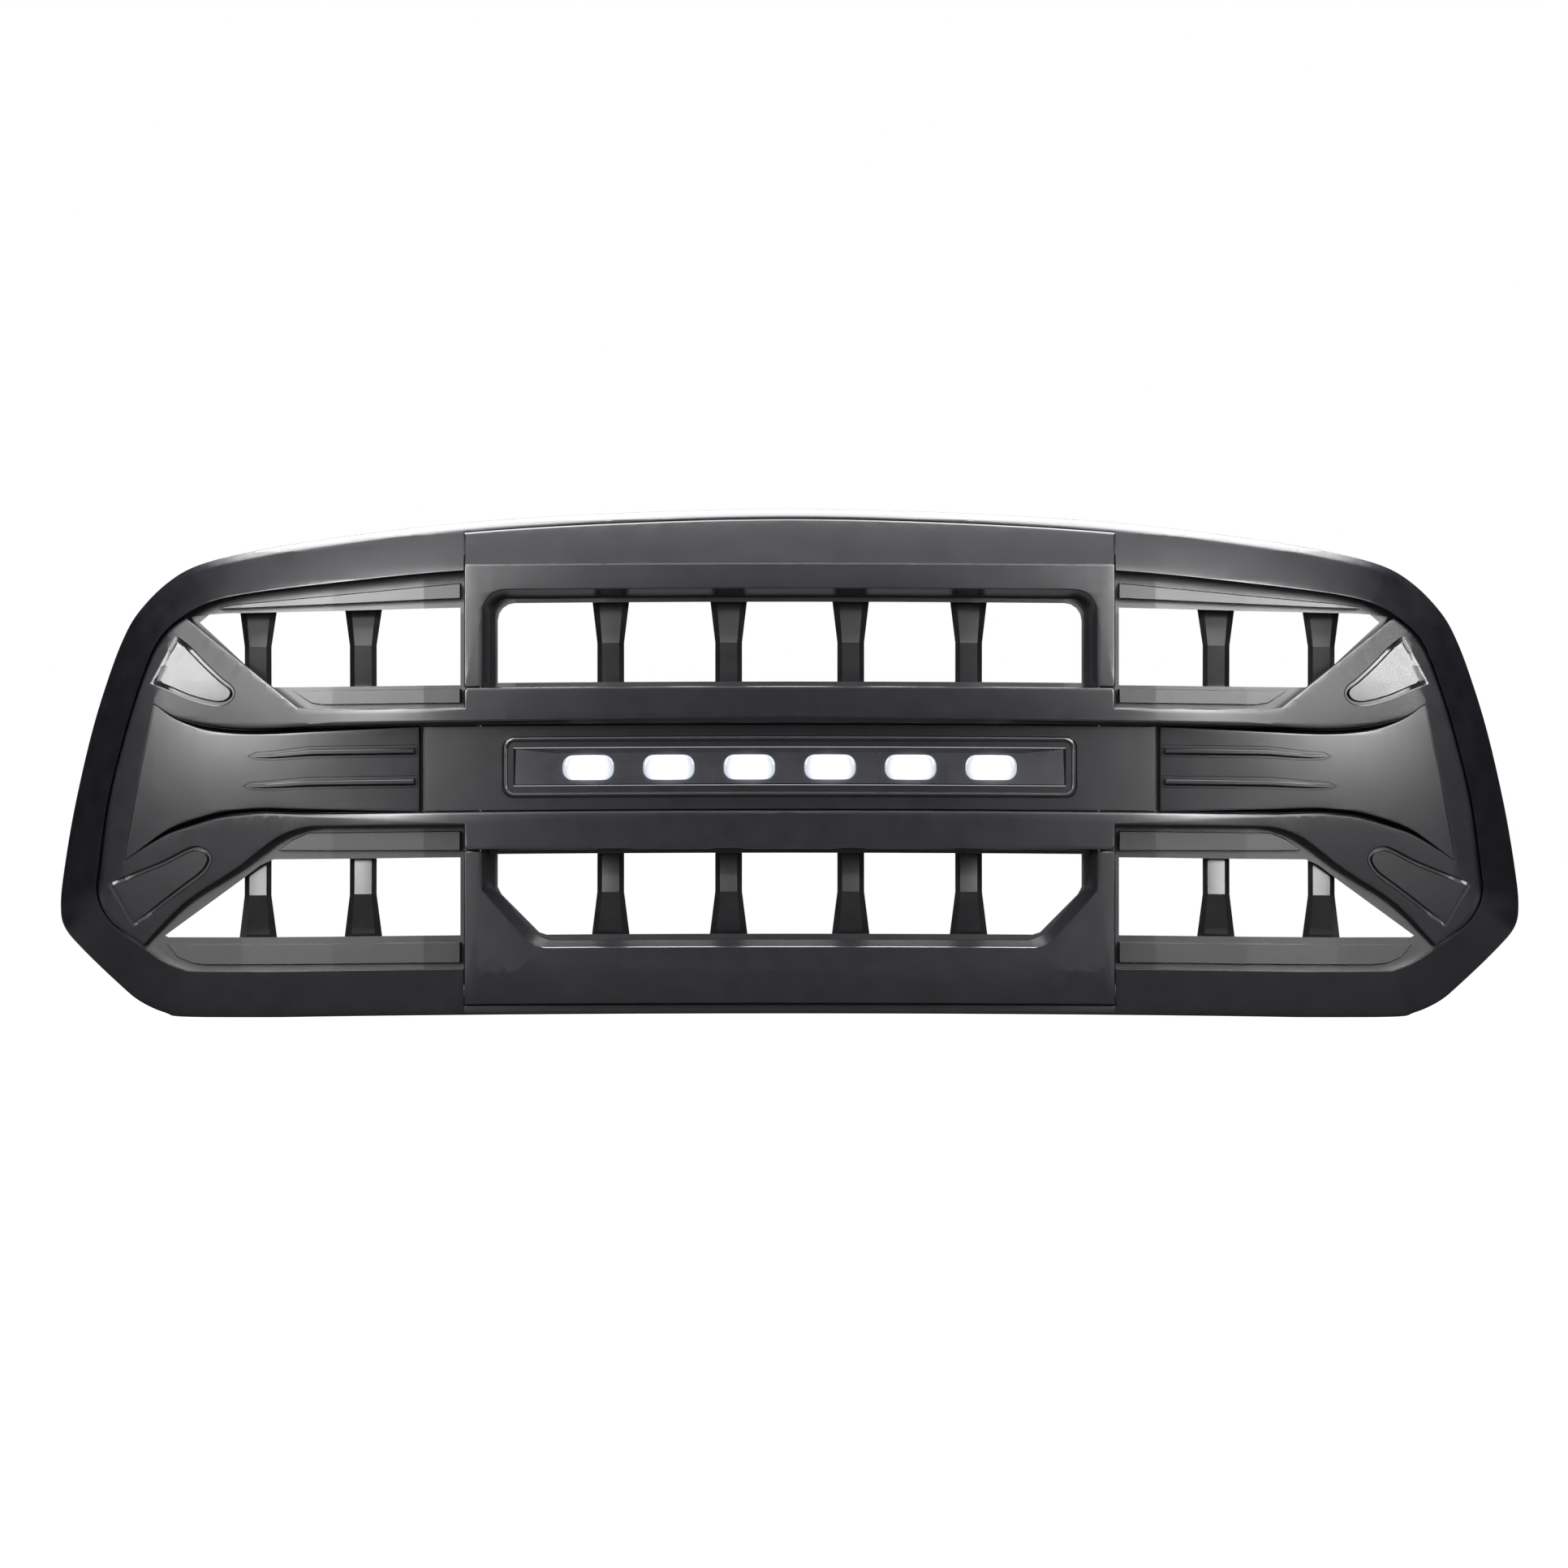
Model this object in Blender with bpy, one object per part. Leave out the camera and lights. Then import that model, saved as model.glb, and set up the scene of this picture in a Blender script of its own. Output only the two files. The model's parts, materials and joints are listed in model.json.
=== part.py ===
"""Pickup front grille with a six-lamp light bar, built from separate mouldings and fixings.

Every piece is drawn flat: x runs across, z runs up and depth runs back from the face.
The finished flat piece is then bent to the sweep, lean and crown of the vehicle's nose.
All pieces share the same bend, so parts that meet when flat still meet when bent.
"""

import math

import bmesh
import bpy

for old in list(bpy.data.objects):
    bpy.data.objects.remove(old)

# Overall sizes, in metres.
WIDTH = 1.240
HEIGHT = 0.4306
SWEEP = 0.095  # how far the two ends sweep back
LEAN = 0.020  # how far the top edge leans back
CROWN = 0.0035  # rise of the level lines at the middle
CROWN_HALF = 0.430  # half-width that the crown spreads over

# Walls, gaps and the planes that pieces seat on.
WALL = 0.003
SEAT_GAP = 0.0003  # between faces that rest on each other
SIDE_GAP = 0.0006  # between mouldings that lie side by side
REAR_PLANE = 0.020  # depth where the rims of the front mouldings end
FLANGE = 0.045  # depth of the outer skirt behind the rim
FRAME_THICK = 0.008
FRAME_OVERLAP = 0.014  # how far a rear frame reaches behind the surround

# Face depths: negative stands proud of the surround's inner lip.
RAIL_FACE = -0.008
WING_FACE = 0.004
BEZEL_FACE = -0.003
PANEL_FACE = 0.012
INSERT_SINK = 0.008  # how far a wing insert drops away from its outer crease
SCOOP_SINK = 0.007
FIN_RISE = 0.005

# Roll of the surround from inner lip to outer edge.
ROLL_TOP = 0.014
ROLL_SIDE = 0.024
ROLL_BOTTOM = 0.005
CREASE_TOP = 0.008
RIM_TOP = 0.0055
RIM_SIDE = 0.0016
CENTRE_BAND = 0.0085  # width of the surround where the bezels cover it

# Slats.
SLAT_WIDE = 0.0317
SLAT_NARROW = 0.0227
SLAT_FRONT = 0.022
SLAT_END_FRONT = 0.034
SLAT_BACK = 0.050
SLAT_TAB = 0.012
SLAT_TAB_THICK = 0.0054

# Light bar.
BAR_LENGTH = 0.467
BAR_HEIGHT = 0.0317
BAR_FACE = 0.0095
BAR_CHAMFER = 0.0045
BEAD_WIDTH = 0.0100
BEAD_RADIUS = 0.009
BEAD_FACE = 0.0085
LAMP_COUNT = 6
LAMP_PITCH = 0.0682
LAMP_WIDTH = 0.0436
LAMP_HEIGHT = 0.0210
LAMP_RADIUS = 0.0088
LAMP_DROP = 0.0009  # the lamps sit a little below the bar's middle
GASKET_THICK = 0.002
BAR_SEAM = REAR_PLANE - SEAT_GAP - GASKET_THICK  # depth where the cover ends
BOARD_DEPTH = 0.0290
BOARD_THICK = 0.0016
HOUSING_BACK = 0.036
RIB_HEIGHT = 0.008
EAR = 0.0155

# Fixings.
BOSS_RADIUS = 0.0042
PILOT_RADIUS = 0.0019
SCREW_RADIUS = 0.0015
HEAD_RADIUS = 0.0036
HEAD_HEIGHT = 0.0022
BRACKET_THICK = 0.003
BRACKET_WIDTH = 0.030
BRACKET_REACH = 0.044
BRACKET_LEG = 0.022

# The style lines are drawn on a sheet of 620 by 430.6 units and stretched to the overall sizes.
SHEET_HALF = 620.0
SHEET_HEIGHT = 430.6
COLUMNS = 8  # bend lines each side of the middle
LEAN_FROM = 250.0  # height on the sheet where the lean starts
LEAN_ROWS = 2
CENTRE_HALF = 275.6  # half-width of the raised centre section
RAIL_TOP, RAIL_TOP_INNER = 277.0, 245.0
RAIL_LOW_INNER, RAIL_LOW = 172.5, 139.5
PANEL_HALF = 310.0
FRAME_SPLIT = 262.0

MATERIALS = {
    "black_abs": ((0.022, 0.022, 0.025), 0.38, 0.0),
    "textured_abs": ((0.014, 0.014, 0.016), 0.6, 0.0),
    "lamp_black": ((0.03, 0.031, 0.036), 0.3, 0.0),
    "clear_lens": ((0.9, 0.92, 0.95), 0.06, 0.0),
    "chrome": ((0.85, 0.86, 0.88), 0.1, 1.0),
    "circuit_green": ((0.03, 0.16, 0.07), 0.5, 0.0),
    "cast_aluminium": ((0.10, 0.10, 0.105), 0.45, 1.0),
    "rubber": ((0.012, 0.012, 0.012), 0.85, 0.0),
    "zinc_steel": ((0.55, 0.56, 0.58), 0.35, 1.0),
    "coated_steel": ((0.03, 0.03, 0.032), 0.5, 0.6),
}

SX = WIDTH / 2 / SHEET_HALF
SZ = HEIGHT / SHEET_HEIGHT


def sheet(points):
    """Points on the style sheet as metres."""
    return [(x * SX, z * SZ) for x, z in points]


# ---------------------------------------------------------------- bend


def between_lines(function, value, step, start=0.0):
    """The function read on evenly spaced bend lines and drawn straight between them."""
    line = math.floor((value - start) / step)
    low = start + line * step
    share = (value - low) / step
    return function(low) * (1 - share) + function(low + step) * share


COLUMN_STEP = WIDTH / 2 / COLUMNS
LEAN_START = LEAN_FROM * SZ
ROW_STEP = (HEIGHT - LEAN_START) / LEAN_ROWS


def sweep(x):
    return between_lines(lambda v: SWEEP * (2 * v / WIDTH) ** 2, abs(x), COLUMN_STEP)


def lean(z):
    if z <= LEAN_START:
        return 0.0
    reach = HEIGHT - LEAN_START
    return between_lines(lambda v: LEAN * ((v - LEAN_START) / reach) ** 2, z, ROW_STEP, LEAN_START)


def crown(x):
    return between_lines(lambda v: CROWN * max(0.0, 1 - (v / CROWN_HALF) ** 2), abs(x), COLUMN_STEP)


def ease(share):
    share = min(1.0, max(0.0, share))
    return share * share * (3 - 2 * share)


def to_rim(depth):
    """1 at the face and 0 at the rim plane, so a rim stays flat when its face is shaped."""
    return min(1.0, max(0.0, 1 - depth / REAR_PLANE))


def crossbar_form(x, depth, z):
    """The crossbar's face runs from proud rails in the middle to sunk wings at the ends."""
    start, end = 300 * SX, 500 * SX
    face = between_lines(
        lambda v: RAIL_FACE + (WING_FACE - RAIL_FACE) * ease((v - start) / (end - start)),
        abs(x),
        COLUMN_STEP,
    )
    return face * to_rim(depth)


def crease_x(z):
    """Half-width of the crease where a wing insert starts."""
    return (539 + 0.21 * (265 - z / SZ)) * SX


def insert_form(x, depth, z):
    """A wing insert is flush at its crease and sinks towards the middle."""
    share = (crease_x(z) - abs(x)) / (crease_x(z) - PANEL_HALF * SX)
    return (WING_FACE + INSERT_SINK * math.sin(math.pi / 2 * min(1, max(0, share)))) * to_rim(depth)


BEZEL_BREAK_TOP = 381.0
BEZEL_BREAK_LOW = 37.0


def bezel_form(x, depth, z):
    """The bezels lean back above one level crease and below another."""
    face = BEZEL_FACE
    if z > BEZEL_BREAK_TOP * SZ:
        face += (CREASE_TOP - BEZEL_FACE) * (z / SZ - BEZEL_BREAK_TOP) / 40
    if z < BEZEL_BREAK_LOW * SZ:
        face += 0.005 * (BEZEL_BREAK_LOW - z / SZ) / BEZEL_BREAK_LOW
    return face * to_rim(depth)


# ---------------------------------------------------------------- outlines


def mirrored(half):
    """A closed outline from its right half, listed from the top middle to the bottom middle."""
    left = [(-x, z) for x, z in reversed(half) if x > 1e-9]
    return list(half) + left


def flow(points, steps):
    """A closed smooth curve through the points, with the same number of steps in each span."""
    count = len(points)
    out = []
    for i in range(count):
        p0, p1, p2, p3 = (points[(i + k) % count] for k in (-1, 0, 1, 2))
        for step in range(steps):
            t = step / steps
            out.append(
                tuple(
                    0.5
                    * (
                        2 * b
                        + (c - a) * t
                        + (2 * a - 5 * b + 4 * c - d) * t * t
                        + (3 * b - a - 3 * c + d) * t**3
                    )
                    for a, b, c, d in zip(p0, p1, p2, p3)
                )
            )
    return out


def area(outline):
    pairs = zip(outline, outline[1:] + outline[:1])
    return sum(x0 * z1 - x1 * z0 for (x0, z0), (x1, z1) in pairs) / 2


def offset(outline, distance):
    """The outline moved outwards by the distance, or inwards where it is negative."""
    side = 1 if area(outline) > 0 else -1
    count = len(outline)
    out = []
    for i, (x, z) in enumerate(outline):
        normals = []
        for (x0, z0), (x1, z1) in (
            (outline[i - 1], outline[i]),
            (outline[i], outline[(i + 1) % count]),
        ):
            length = math.hypot(x1 - x0, z1 - z0)
            normals.append(((z1 - z0) / length * side, (x0 - x1) / length * side))
        (ax, az), (bx, bz) = normals
        mitre = distance / max(0.4, 1 + ax * bx + az * bz)
        out.append((x + (ax + bx) * mitre, z + (az + bz) * mitre))
    return out


def rounded(half_x, low, high, radius, corners=(True, True, True, True), steps=4):
    """A box outline about x = 0 with the chosen corners rounded: top right first, clockwise."""
    out = []
    spots = (
        (half_x, high, 90),
        (half_x, low, 0),
        (-half_x, low, -90),
        (-half_x, high, -180),
    )
    for (x, z, start), is_round in zip(spots, corners):
        if not is_round:
            out.append((x, z))
            continue
        cx = x - math.copysign(radius, x)
        cz = z - radius if z == high else z + radius
        for step in range(steps + 1):
            angle = math.radians(start - 90 * step / steps)
            out.append((cx + radius * math.cos(angle), cz + radius * math.sin(angle)))
    return out


def box(x0, x1, z0, z1):
    return [(x0, z1), (x1, z1), (x1, z0), (x0, z0)]


def flipped(outline):
    """The outline mirrored to the other side of the grille."""
    return [(-x, z) for x, z in reversed(outline)]


def circle(x, z, radius, sides=8):
    turn = 2 * math.pi / sides
    return [
        (x + radius * math.cos(turn * (i + 0.5)), z + radius * math.sin(turn * (i + 0.5)))
        for i in range(sides)
    ]


# ---------------------------------------------------------------- solids


class Solid:
    """A closed body made from flat outlines set at chosen depths."""

    def __init__(self):
        self.bm = bmesh.new()
        self.rings = []

    def ring(self, outline, depth):
        verts = [self.bm.verts.new((x, 0, z)) for x, z in outline]
        self.rings.append((verts, depth))
        return verts

    def face(self, *rings):
        """Fills inside the first ring and outside the others."""
        edges = []
        for verts in rings:
            for a, b in zip(verts, verts[1:] + verts[:1]):
                edges.append(self.bm.edges.get((a, b)) or self.bm.edges.new((a, b)))
        bmesh.ops.triangle_fill(
            self.bm, use_beauty=True, use_dissolve=False, edges=edges, normal=(0, -1, 0)
        )

    def wall(self, a, b):
        """Joins two rings that have the same number of points."""
        for i in range(len(a)):
            j = (i + 1) % len(a)
            self.bm.faces.new((a[i], a[j], b[j], b[i]))

    def bridge(self, *rings):
        for a, b in zip(rings, rings[1:]):
            self.wall(a, b)

    def done(self):
        """Sets the depths and returns the mesh data as a closed body."""
        for verts, depth in self.rings:
            for i, vert in enumerate(verts):
                if callable(depth):
                    vert.co.y = depth(vert.co.x, vert.co.z)
                elif isinstance(depth, list):
                    vert.co.y = depth[i]
                else:
                    vert.co.y = depth
        bmesh.ops.remove_doubles(self.bm, verts=self.bm.verts, dist=2e-6)
        bmesh.ops.dissolve_degenerate(self.bm, edges=self.bm.edges, dist=1e-6)
        bmesh.ops.recalc_face_normals(self.bm, faces=self.bm.faces)
        return self.bm


def plate(outline, holes, front, back):
    """A flat plate with holes."""
    solid = Solid()
    rings = [(solid.ring(edge, front), solid.ring(edge, back)) for edge in [outline, *holes]]
    for a, b in rings:
        solid.wall(a, b)
    solid.face(*[a for a, b in rings])
    solid.face(*[b for a, b in rings])
    return solid.done()


def tray(outline, holes=(), pads=(), front=0.0, back=None, wall=WALL, rear=None, rear_holes=None):
    """A moulding with a face, a rim round every edge and an open back.

    pads are (outline, depth) areas of the face: a function's sinks, with its back, and a plain
    number's stands proud.
    rear and rear_holes are the edges at the rim plane, where the sides have draft.
    """
    back = REAR_PLANE if back is None else back
    rear = rear or outline
    rear_holes = rear_holes or holes
    solid = Solid()
    face = [solid.ring(outline, front)]
    rims, floors = [], []
    for edge, rear_edge, side in [(outline, rear, -1)] + [
        (h, r, 1) for h, r in zip(holes, rear_holes)
    ]:
        if side == 1:
            face.append(solid.ring(edge, front))
        end = solid.ring(rear_edge, back)
        solid.wall(face[-1], end)
        inner = solid.ring(offset(rear_edge, side * wall), back)
        floor = solid.ring(offset(edge, side * wall), front + wall)
        solid.face(end, inner)
        solid.wall(inner, floor)
        floors.append(floor)
        rims.append(end)
    for edge, depth in pads:
        base = solid.ring(edge, front)
        solid.wall(base, solid.ring(edge, depth))
        solid.face(solid.rings[-1][0])
        face.append(base)
        if not callable(depth):
            continue
        wide = offset(edge, wall * 0.6)
        inner_base = solid.ring(wide, front + wall)
        solid.wall(inner_base, solid.ring(wide, lambda x, z, depth=depth: depth(x, z) + wall))
        solid.face(solid.rings[-1][0])
        floors.append(inner_base)
    solid.face(*face)
    solid.face(*floors)
    return solid.done()


def cylinders(places, radius, front, back, sides=6):
    """One mesh of round bars, each at an (x, z) place."""
    bm = bmesh.new()
    for x, z in places:
        ends = [
            [bm.verts.new((px, depth, pz)) for px, pz in circle(x, z, radius, sides)]
            for depth in (front, back)
        ]
        for i in range(sides):
            j = (i + 1) % sides
            bm.faces.new((ends[0][i], ends[0][j], ends[1][j], ends[1][i]))
        bm.faces.new(ends[0])
        bm.faces.new(ends[1])
    bmesh.ops.recalc_face_normals(bm, faces=bm.faces)
    return bm


def boolean(bm, other, operation):
    """Cuts or joins two flat bodies and returns the result."""
    pieces = []
    for source in (bm, other):
        mesh = bpy.data.meshes.new("work")
        source.to_mesh(mesh)
        source.free()
        piece = bpy.data.objects.new("work", mesh)
        bpy.context.scene.collection.objects.link(piece)
        pieces.append(piece)
    modifier = pieces[0].modifiers.new("work", "BOOLEAN")
    modifier.operation = operation
    modifier.solver = "EXACT"
    modifier.object = pieces[1]
    graph = bpy.context.evaluated_depsgraph_get()
    result = bpy.data.meshes.new_from_object(pieces[0].evaluated_get(graph))
    out = bmesh.new()
    out.from_mesh(result)
    bpy.data.meshes.remove(result)
    for piece in pieces:
        mesh = piece.data
        bpy.data.objects.remove(piece)
        bpy.data.meshes.remove(mesh)
    bmesh.ops.remove_doubles(out, verts=out.verts, dist=2e-6)
    bmesh.ops.dissolve_degenerate(out, edges=out.edges, dist=1e-6)
    return out


def bossed(bm, places, root):
    """Adds screw bosses from the given depth to the rim plane."""
    return boolean(bm, cylinders(places, BOSS_RADIUS, root, REAR_PLANE), "UNION")


def drilled(bm, places):
    """Cuts clearance holes right through."""
    return boolean(bm, cylinders(places, PILOT_RADIUS, -0.02, 0.09), "DIFFERENCE")


# ---------------------------------------------------------------- finishing

ORIGIN = bpy.data.objects.new("grille_origin", None)


def material(name):
    found = bpy.data.materials.get(name)
    if found:
        return found
    colour, roughness, metallic = MATERIALS[name]
    made = bpy.data.materials.new(name)
    made.use_nodes = True
    shader = made.node_tree.nodes["Principled BSDF"]
    shader.inputs["Base Color"].default_value = (*colour, 1)
    shader.inputs["Roughness"].default_value = roughness
    shader.inputs["Metallic"].default_value = metallic
    made.diffuse_color = (*colour, 1)
    return made


def cut_line(bm, place, normal):
    geometry = bm.verts[:] + bm.edges[:] + bm.faces[:]
    bmesh.ops.bisect_plane(bm, geom=geometry, plane_co=place, plane_no=normal, dist=1e-6)


def bend(bm, form=None, rows=()):
    """Cuts the flat body along the bend lines and moves its points to the bent shape."""
    for column in range(-COLUMNS, COLUMNS + 1):
        cut_line(bm, (column * COLUMN_STEP, 0, 0), (1, 0, 0))
    for row in range(LEAN_ROWS):
        cut_line(bm, (0, 0, LEAN_START + row * ROW_STEP), (0, 0, 1))
    for height in rows:
        cut_line(bm, (0, 0, height), (0, 0, 1))
    bmesh.ops.triangulate(bm, faces=bm.faces[:])
    for vert in bm.verts:
        x, depth, z = vert.co
        if form:
            depth += form(x, depth, z)
        vert.co = (x, depth + sweep(x) + lean(z), z + crown(x))
    return bm


def add_piece(name, bm, finish, form=None, rows=(), smooth=30):
    """Bends the flat body and puts it in the scene as a named object."""
    bend(bm, form, rows)
    bmesh.ops.dissolve_degenerate(bm, edges=bm.edges, dist=1e-7)
    bmesh.ops.recalc_face_normals(bm, faces=bm.faces)
    mesh = bpy.data.meshes.new(name)
    bm.to_mesh(mesh)
    bm.free()
    mesh.shade_smooth()
    mesh.set_sharp_from_angle(angle=math.radians(smooth))
    mesh.materials.append(material(finish))
    piece = bpy.data.objects.new(name, mesh)
    piece.parent = ORIGIN
    bpy.context.scene.collection.objects.link(piece)
    return piece


# ---------------------------------------------------------------- style lines

SURROUND_OUTER = [
    (0, 427.1),
    (150, 423.6),
    (280, 416.6),
    (395, 404.5),
    (455, 395.1),
    (501.5, 383.7),
    (529, 368.3),
    (553.2, 343.8),
    (567, 319.7),
    (580.7, 283.1),
    (594.5, 237),
    (608.3, 176.4),
    (617, 125),
    (620, 95),
    (616.5, 76),
    (600, 56.5),
    (570, 28),
    (552, 13.3),
    (530, 3.4),
    (508.4, 0),
    (400, 0),
    (200, 0),
    (0, 0),
]
SURROUND_LIP = [
    (0, 380),
    (150, 379.5),
    (280, 376.2),
    (395, 366.6),
    (450, 360.6),
    (487, 353.6),
    (507, 345.2),
    (525.5, 332),
    (539, 315.5),
    (551.5, 284.6),
    (565, 241),
    (579.2, 183.5),
    (587, 128),
    (589, 108),
    (585, 92.5),
    (574, 77.3),
    (551, 60.2),
    (533, 48),
    (516, 41),
    (498.9, 39.3),
    (400, 39.3),
    (200, 39.3),
    (0, 39.3),
]
SURROUND_STEPS = 2


def surround_outlines():
    """Matching outer and inner outlines, with the inner one stepped out behind the bezels."""
    outer = flow(mirrored(SURROUND_OUTER), SURROUND_STEPS)
    lip = flow(mirrored(SURROUND_LIP), SURROUND_STEPS)
    edges = (CENTRE_HALF + SIDE_GAP / SX, CENTRE_HALF + SIDE_GAP / SX + 1.0)
    pairs = []
    for i, (a, c) in enumerate(zip(outer, lip)):
        b, d = outer[(i + 1) % len(outer)], lip[(i + 1) % len(lip)]
        pairs.append((a, c))
        if abs(a[0]) > 500:
            continue
        found = []
        for edge in (-edges[1], -edges[0], edges[0], edges[1]):
            if min(a[0], b[0]) < edge < max(a[0], b[0]) and abs(b[0] - a[0]) > 1:
                share = (edge - a[0]) / (b[0] - a[0])
                found.append(
                    (
                        share,
                        (edge, a[1] + (b[1] - a[1]) * share),
                        (edge, c[1] + (d[1] - c[1]) * (edge - c[0]) / (d[0] - c[0])),
                    )
                )
        pairs += [(p, q) for share, p, q in sorted(found)]
    band = CENTRE_BAND / SZ
    outer = [p for p, q in pairs]
    lip = [
        (p[0], p[1] - band if p[1] > 200 else p[1] + band) if abs(p[0]) < edges[0] + 0.1 else q
        for p, q in pairs
    ]
    return sheet(outer), sheet(lip)


ARM_TOP = [(396.8, 260.1), (416.8, 262.1), (425, 268.7), (439.2, 280), (460.2, 296.9)]
ARM_TOP += [(488.4, 319.6), (512.5, 339.6)]
ARM_LOW = [(549.2, 60.3), (515.3, 95.2), (482.6, 117.1), (466.4, 127.7), (450.1, 140.7)]
ARM_LOW += [(434, 152.2), (417.6, 158.7), (404, 161)]
WING_SIDE = [(525.5, 332), (539, 315.5), (551.5, 284.6), (565, 241), (579.2, 183.5)]
WING_SIDE += [(587, 128), (589, 108), (585, 92.5), (574, 77.3)]
RECESS_TOP = [(408.5, 245), (453.3, 243.6), (481.5, 245), (502.5, 248.5), (523.6, 254.9)]
RECESS_END = [(539, 265), (552, 203)]
RECESS_LOW = [(564.9, 133), (539.4, 149.5), (523.6, 157.8), (498.8, 166), (482.9, 170.2)]
RECESS_LOW += [(466.4, 172.2), (445, 173.6), (415, 172.5)]
SCOOP_TOP = [(521, 322.7), (509.8, 314.8), (495.3, 300), (481.5, 287.2), (473.4, 280.8)]
SCOOP_TOP += [(470.9, 274.2), (474.4, 267.8), (481.5, 264.6), (491.2, 265), (509.8, 270)]
SCOOP_TOP += [(530.4, 278.7), (543, 283)]
SCOOP_LOW = [(580, 112.8), (555.9, 122.5), (531.4, 132.6), (515.3, 141), (505.4, 144.6)]
SCOOP_LOW += [(495.7, 142.6), (490.6, 135.8), (492.4, 127.9), (498.9, 119.8), (515.3, 107.5)]
SCOOP_LOW += [(531.4, 95.2), (547.7, 82.3), (558, 76.2)]


def wing_outline():
    """The edge of a wing, just inside the surround's lip."""
    edge = sheet(ARM_TOP[-1:] + WING_SIDE + ARM_LOW[:1])
    out = []
    for i in range(1, len(edge) - 1):
        (x0, z0), (x1, z1) = edge[i - 1], edge[i + 1]
        gap = SIDE_GAP / math.hypot(x1 - x0, z1 - z0)
        out.append((edge[i][0] + (z1 - z0) * gap, edge[i][1] - (x1 - x0) * gap))
    return out


def crossbar_outline():
    corner = 2.5
    half = sheet([(0, RAIL_TOP), (CENTRE_HALF - corner, RAIL_TOP), (CENTRE_HALF, RAIL_TOP - corner)])
    half += sheet([(CENTRE_HALF, 260.1)] + ARM_TOP)
    half += wing_outline()
    half += sheet(ARM_LOW)
    half += sheet([(CENTRE_HALF, 161.0), (CENTRE_HALF, RAIL_LOW + corner)])
    half += sheet([(CENTRE_HALF - corner, RAIL_LOW), (0, RAIL_LOW)])
    return mirrored(half)


def recess_outline():
    half = [(0, RAIL_TOP_INNER)] + RECESS_TOP + RECESS_END + RECESS_LOW + [(0, RAIL_LOW_INNER)]
    return mirrored(sheet(half))


def scoop(points):
    """A tongue-shaped pocket: level with the wing at the frame, deepest at its round end."""
    outline = sheet(points)
    tip = min(outline)
    mouth = ((outline[0][0] + outline[-1][0]) / 2, (outline[0][1] + outline[-1][1]) / 2)
    run = (tip[0] - mouth[0], tip[1] - mouth[1])
    length = math.hypot(*run)

    def depth(x, z):
        along = ((abs(x) - mouth[0]) * run[0] + (z - mouth[1]) * run[1]) / length**2
        return SCOOP_SINK * min(1.0, max(0.0, along))

    return outline, depth


# ---------------------------------------------------------------- screw places

CROSSBAR_SCREWS = sheet(
    [(s * x, z) for s in (1, -1) for x, z in [(95, 261), (228, 261), (95, 156), (228, 156)]]
)
WING_SCREWS = [(392, 252.6), (560.3, 215), (572.5, 160)]
INSERT_SCREWS = [(332, 222), (332, 196), (536, 205)]
PANEL_SCREWS = [(285, 188), (285, 230)]
UPPER_BEZEL_SCREWS = sheet([(s * x, 387) for s in (1, -1) for x in (95, 225)])
LOWER_BEZEL_SCREWS = sheet([(s * x, 31) for s in (1, -1) for x in (95, 225)])
SURROUND_LEVEL_SCREWS = [(335, 382.5), (455, 369), (350, 30), (478, 30)]
SURROUND_SIDE_SCREWS = [(570.5, 251), (595, 141)]


def both_sides(points):
    return sheet([(s * x, z) for s in (1, -1) for x, z in points])


def one_side(points, side):
    return sheet([(side * x, z) for x, z in points])


# ---------------------------------------------------------------- front mouldings


def surround_frame():
    """The outer ring: inner return, rolled face, rim and deep skirt, all one wall thick."""
    outer, lip = surround_outlines()
    side = 1 if area(outer) > 0 else -1
    count = len(outer)
    rolls, creases, insets = [], [], []
    for i in range(count):
        (x0, z0), (x1, z1) = outer[i - 1], outer[(i + 1) % count]
        length = math.hypot(x1 - x0, z1 - z0)
        nx, nz = (z1 - z0) / length * side, (x0 - x1) / length * side
        up, down = max(nz, 0) ** 2, max(-nz, 0) ** 2
        rolls.append(ROLL_TOP * up + ROLL_SIDE * nx * nx + (ROLL_BOTTOM + 0.003) * down)
        insets.append(RIM_TOP * up + RIM_SIDE * (1 - up))
        creases.append(CREASE_TOP * up + 0.93 * ROLL_SIDE * nx * nx + (ROLL_BOTTOM + 0.002) * down)
    crease = []
    for i, (near, step) in enumerate(zip(outer, insets)):
        (x, z), (lx, lz) = near, lip[i]
        length = math.hypot(lx - x, lz - z)
        crease.append((x + (lx - x) / length * step, z + (lz - z) / length * step))
    is_centre = [abs(x) < (CENTRE_HALF + 1) * SX for x, z in outer]
    lips = [d if c else 0.0 for d, c in zip(creases, is_centre)]
    solid = Solid()
    inner_skin = offset(outer, -WALL)
    inner_lip = offset(lip, WALL)
    rings = [
        solid.ring(lip, REAR_PLANE),
        solid.ring(lip, lips),
        solid.ring(crease, creases),
        solid.ring(outer, rolls),
        solid.ring(outer, [d + FLANGE for d in rolls]),
        solid.ring(inner_skin, [d + FLANGE for d in rolls]),
        solid.ring(inner_skin, [d + WALL for d in rolls]),
        solid.ring(inner_lip, [d + WALL for d in lips]),
        solid.ring(inner_lip, REAR_PLANE),
    ]
    solid.bridge(*rings, rings[0])
    bm = bossed(solid.done(), both_sides(SURROUND_LEVEL_SCREWS), 0.0035)
    bm = bossed(bm, both_sides(SURROUND_SIDE_SCREWS), 0.008)
    return add_piece("surround_frame", bm, "black_abs")


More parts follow.
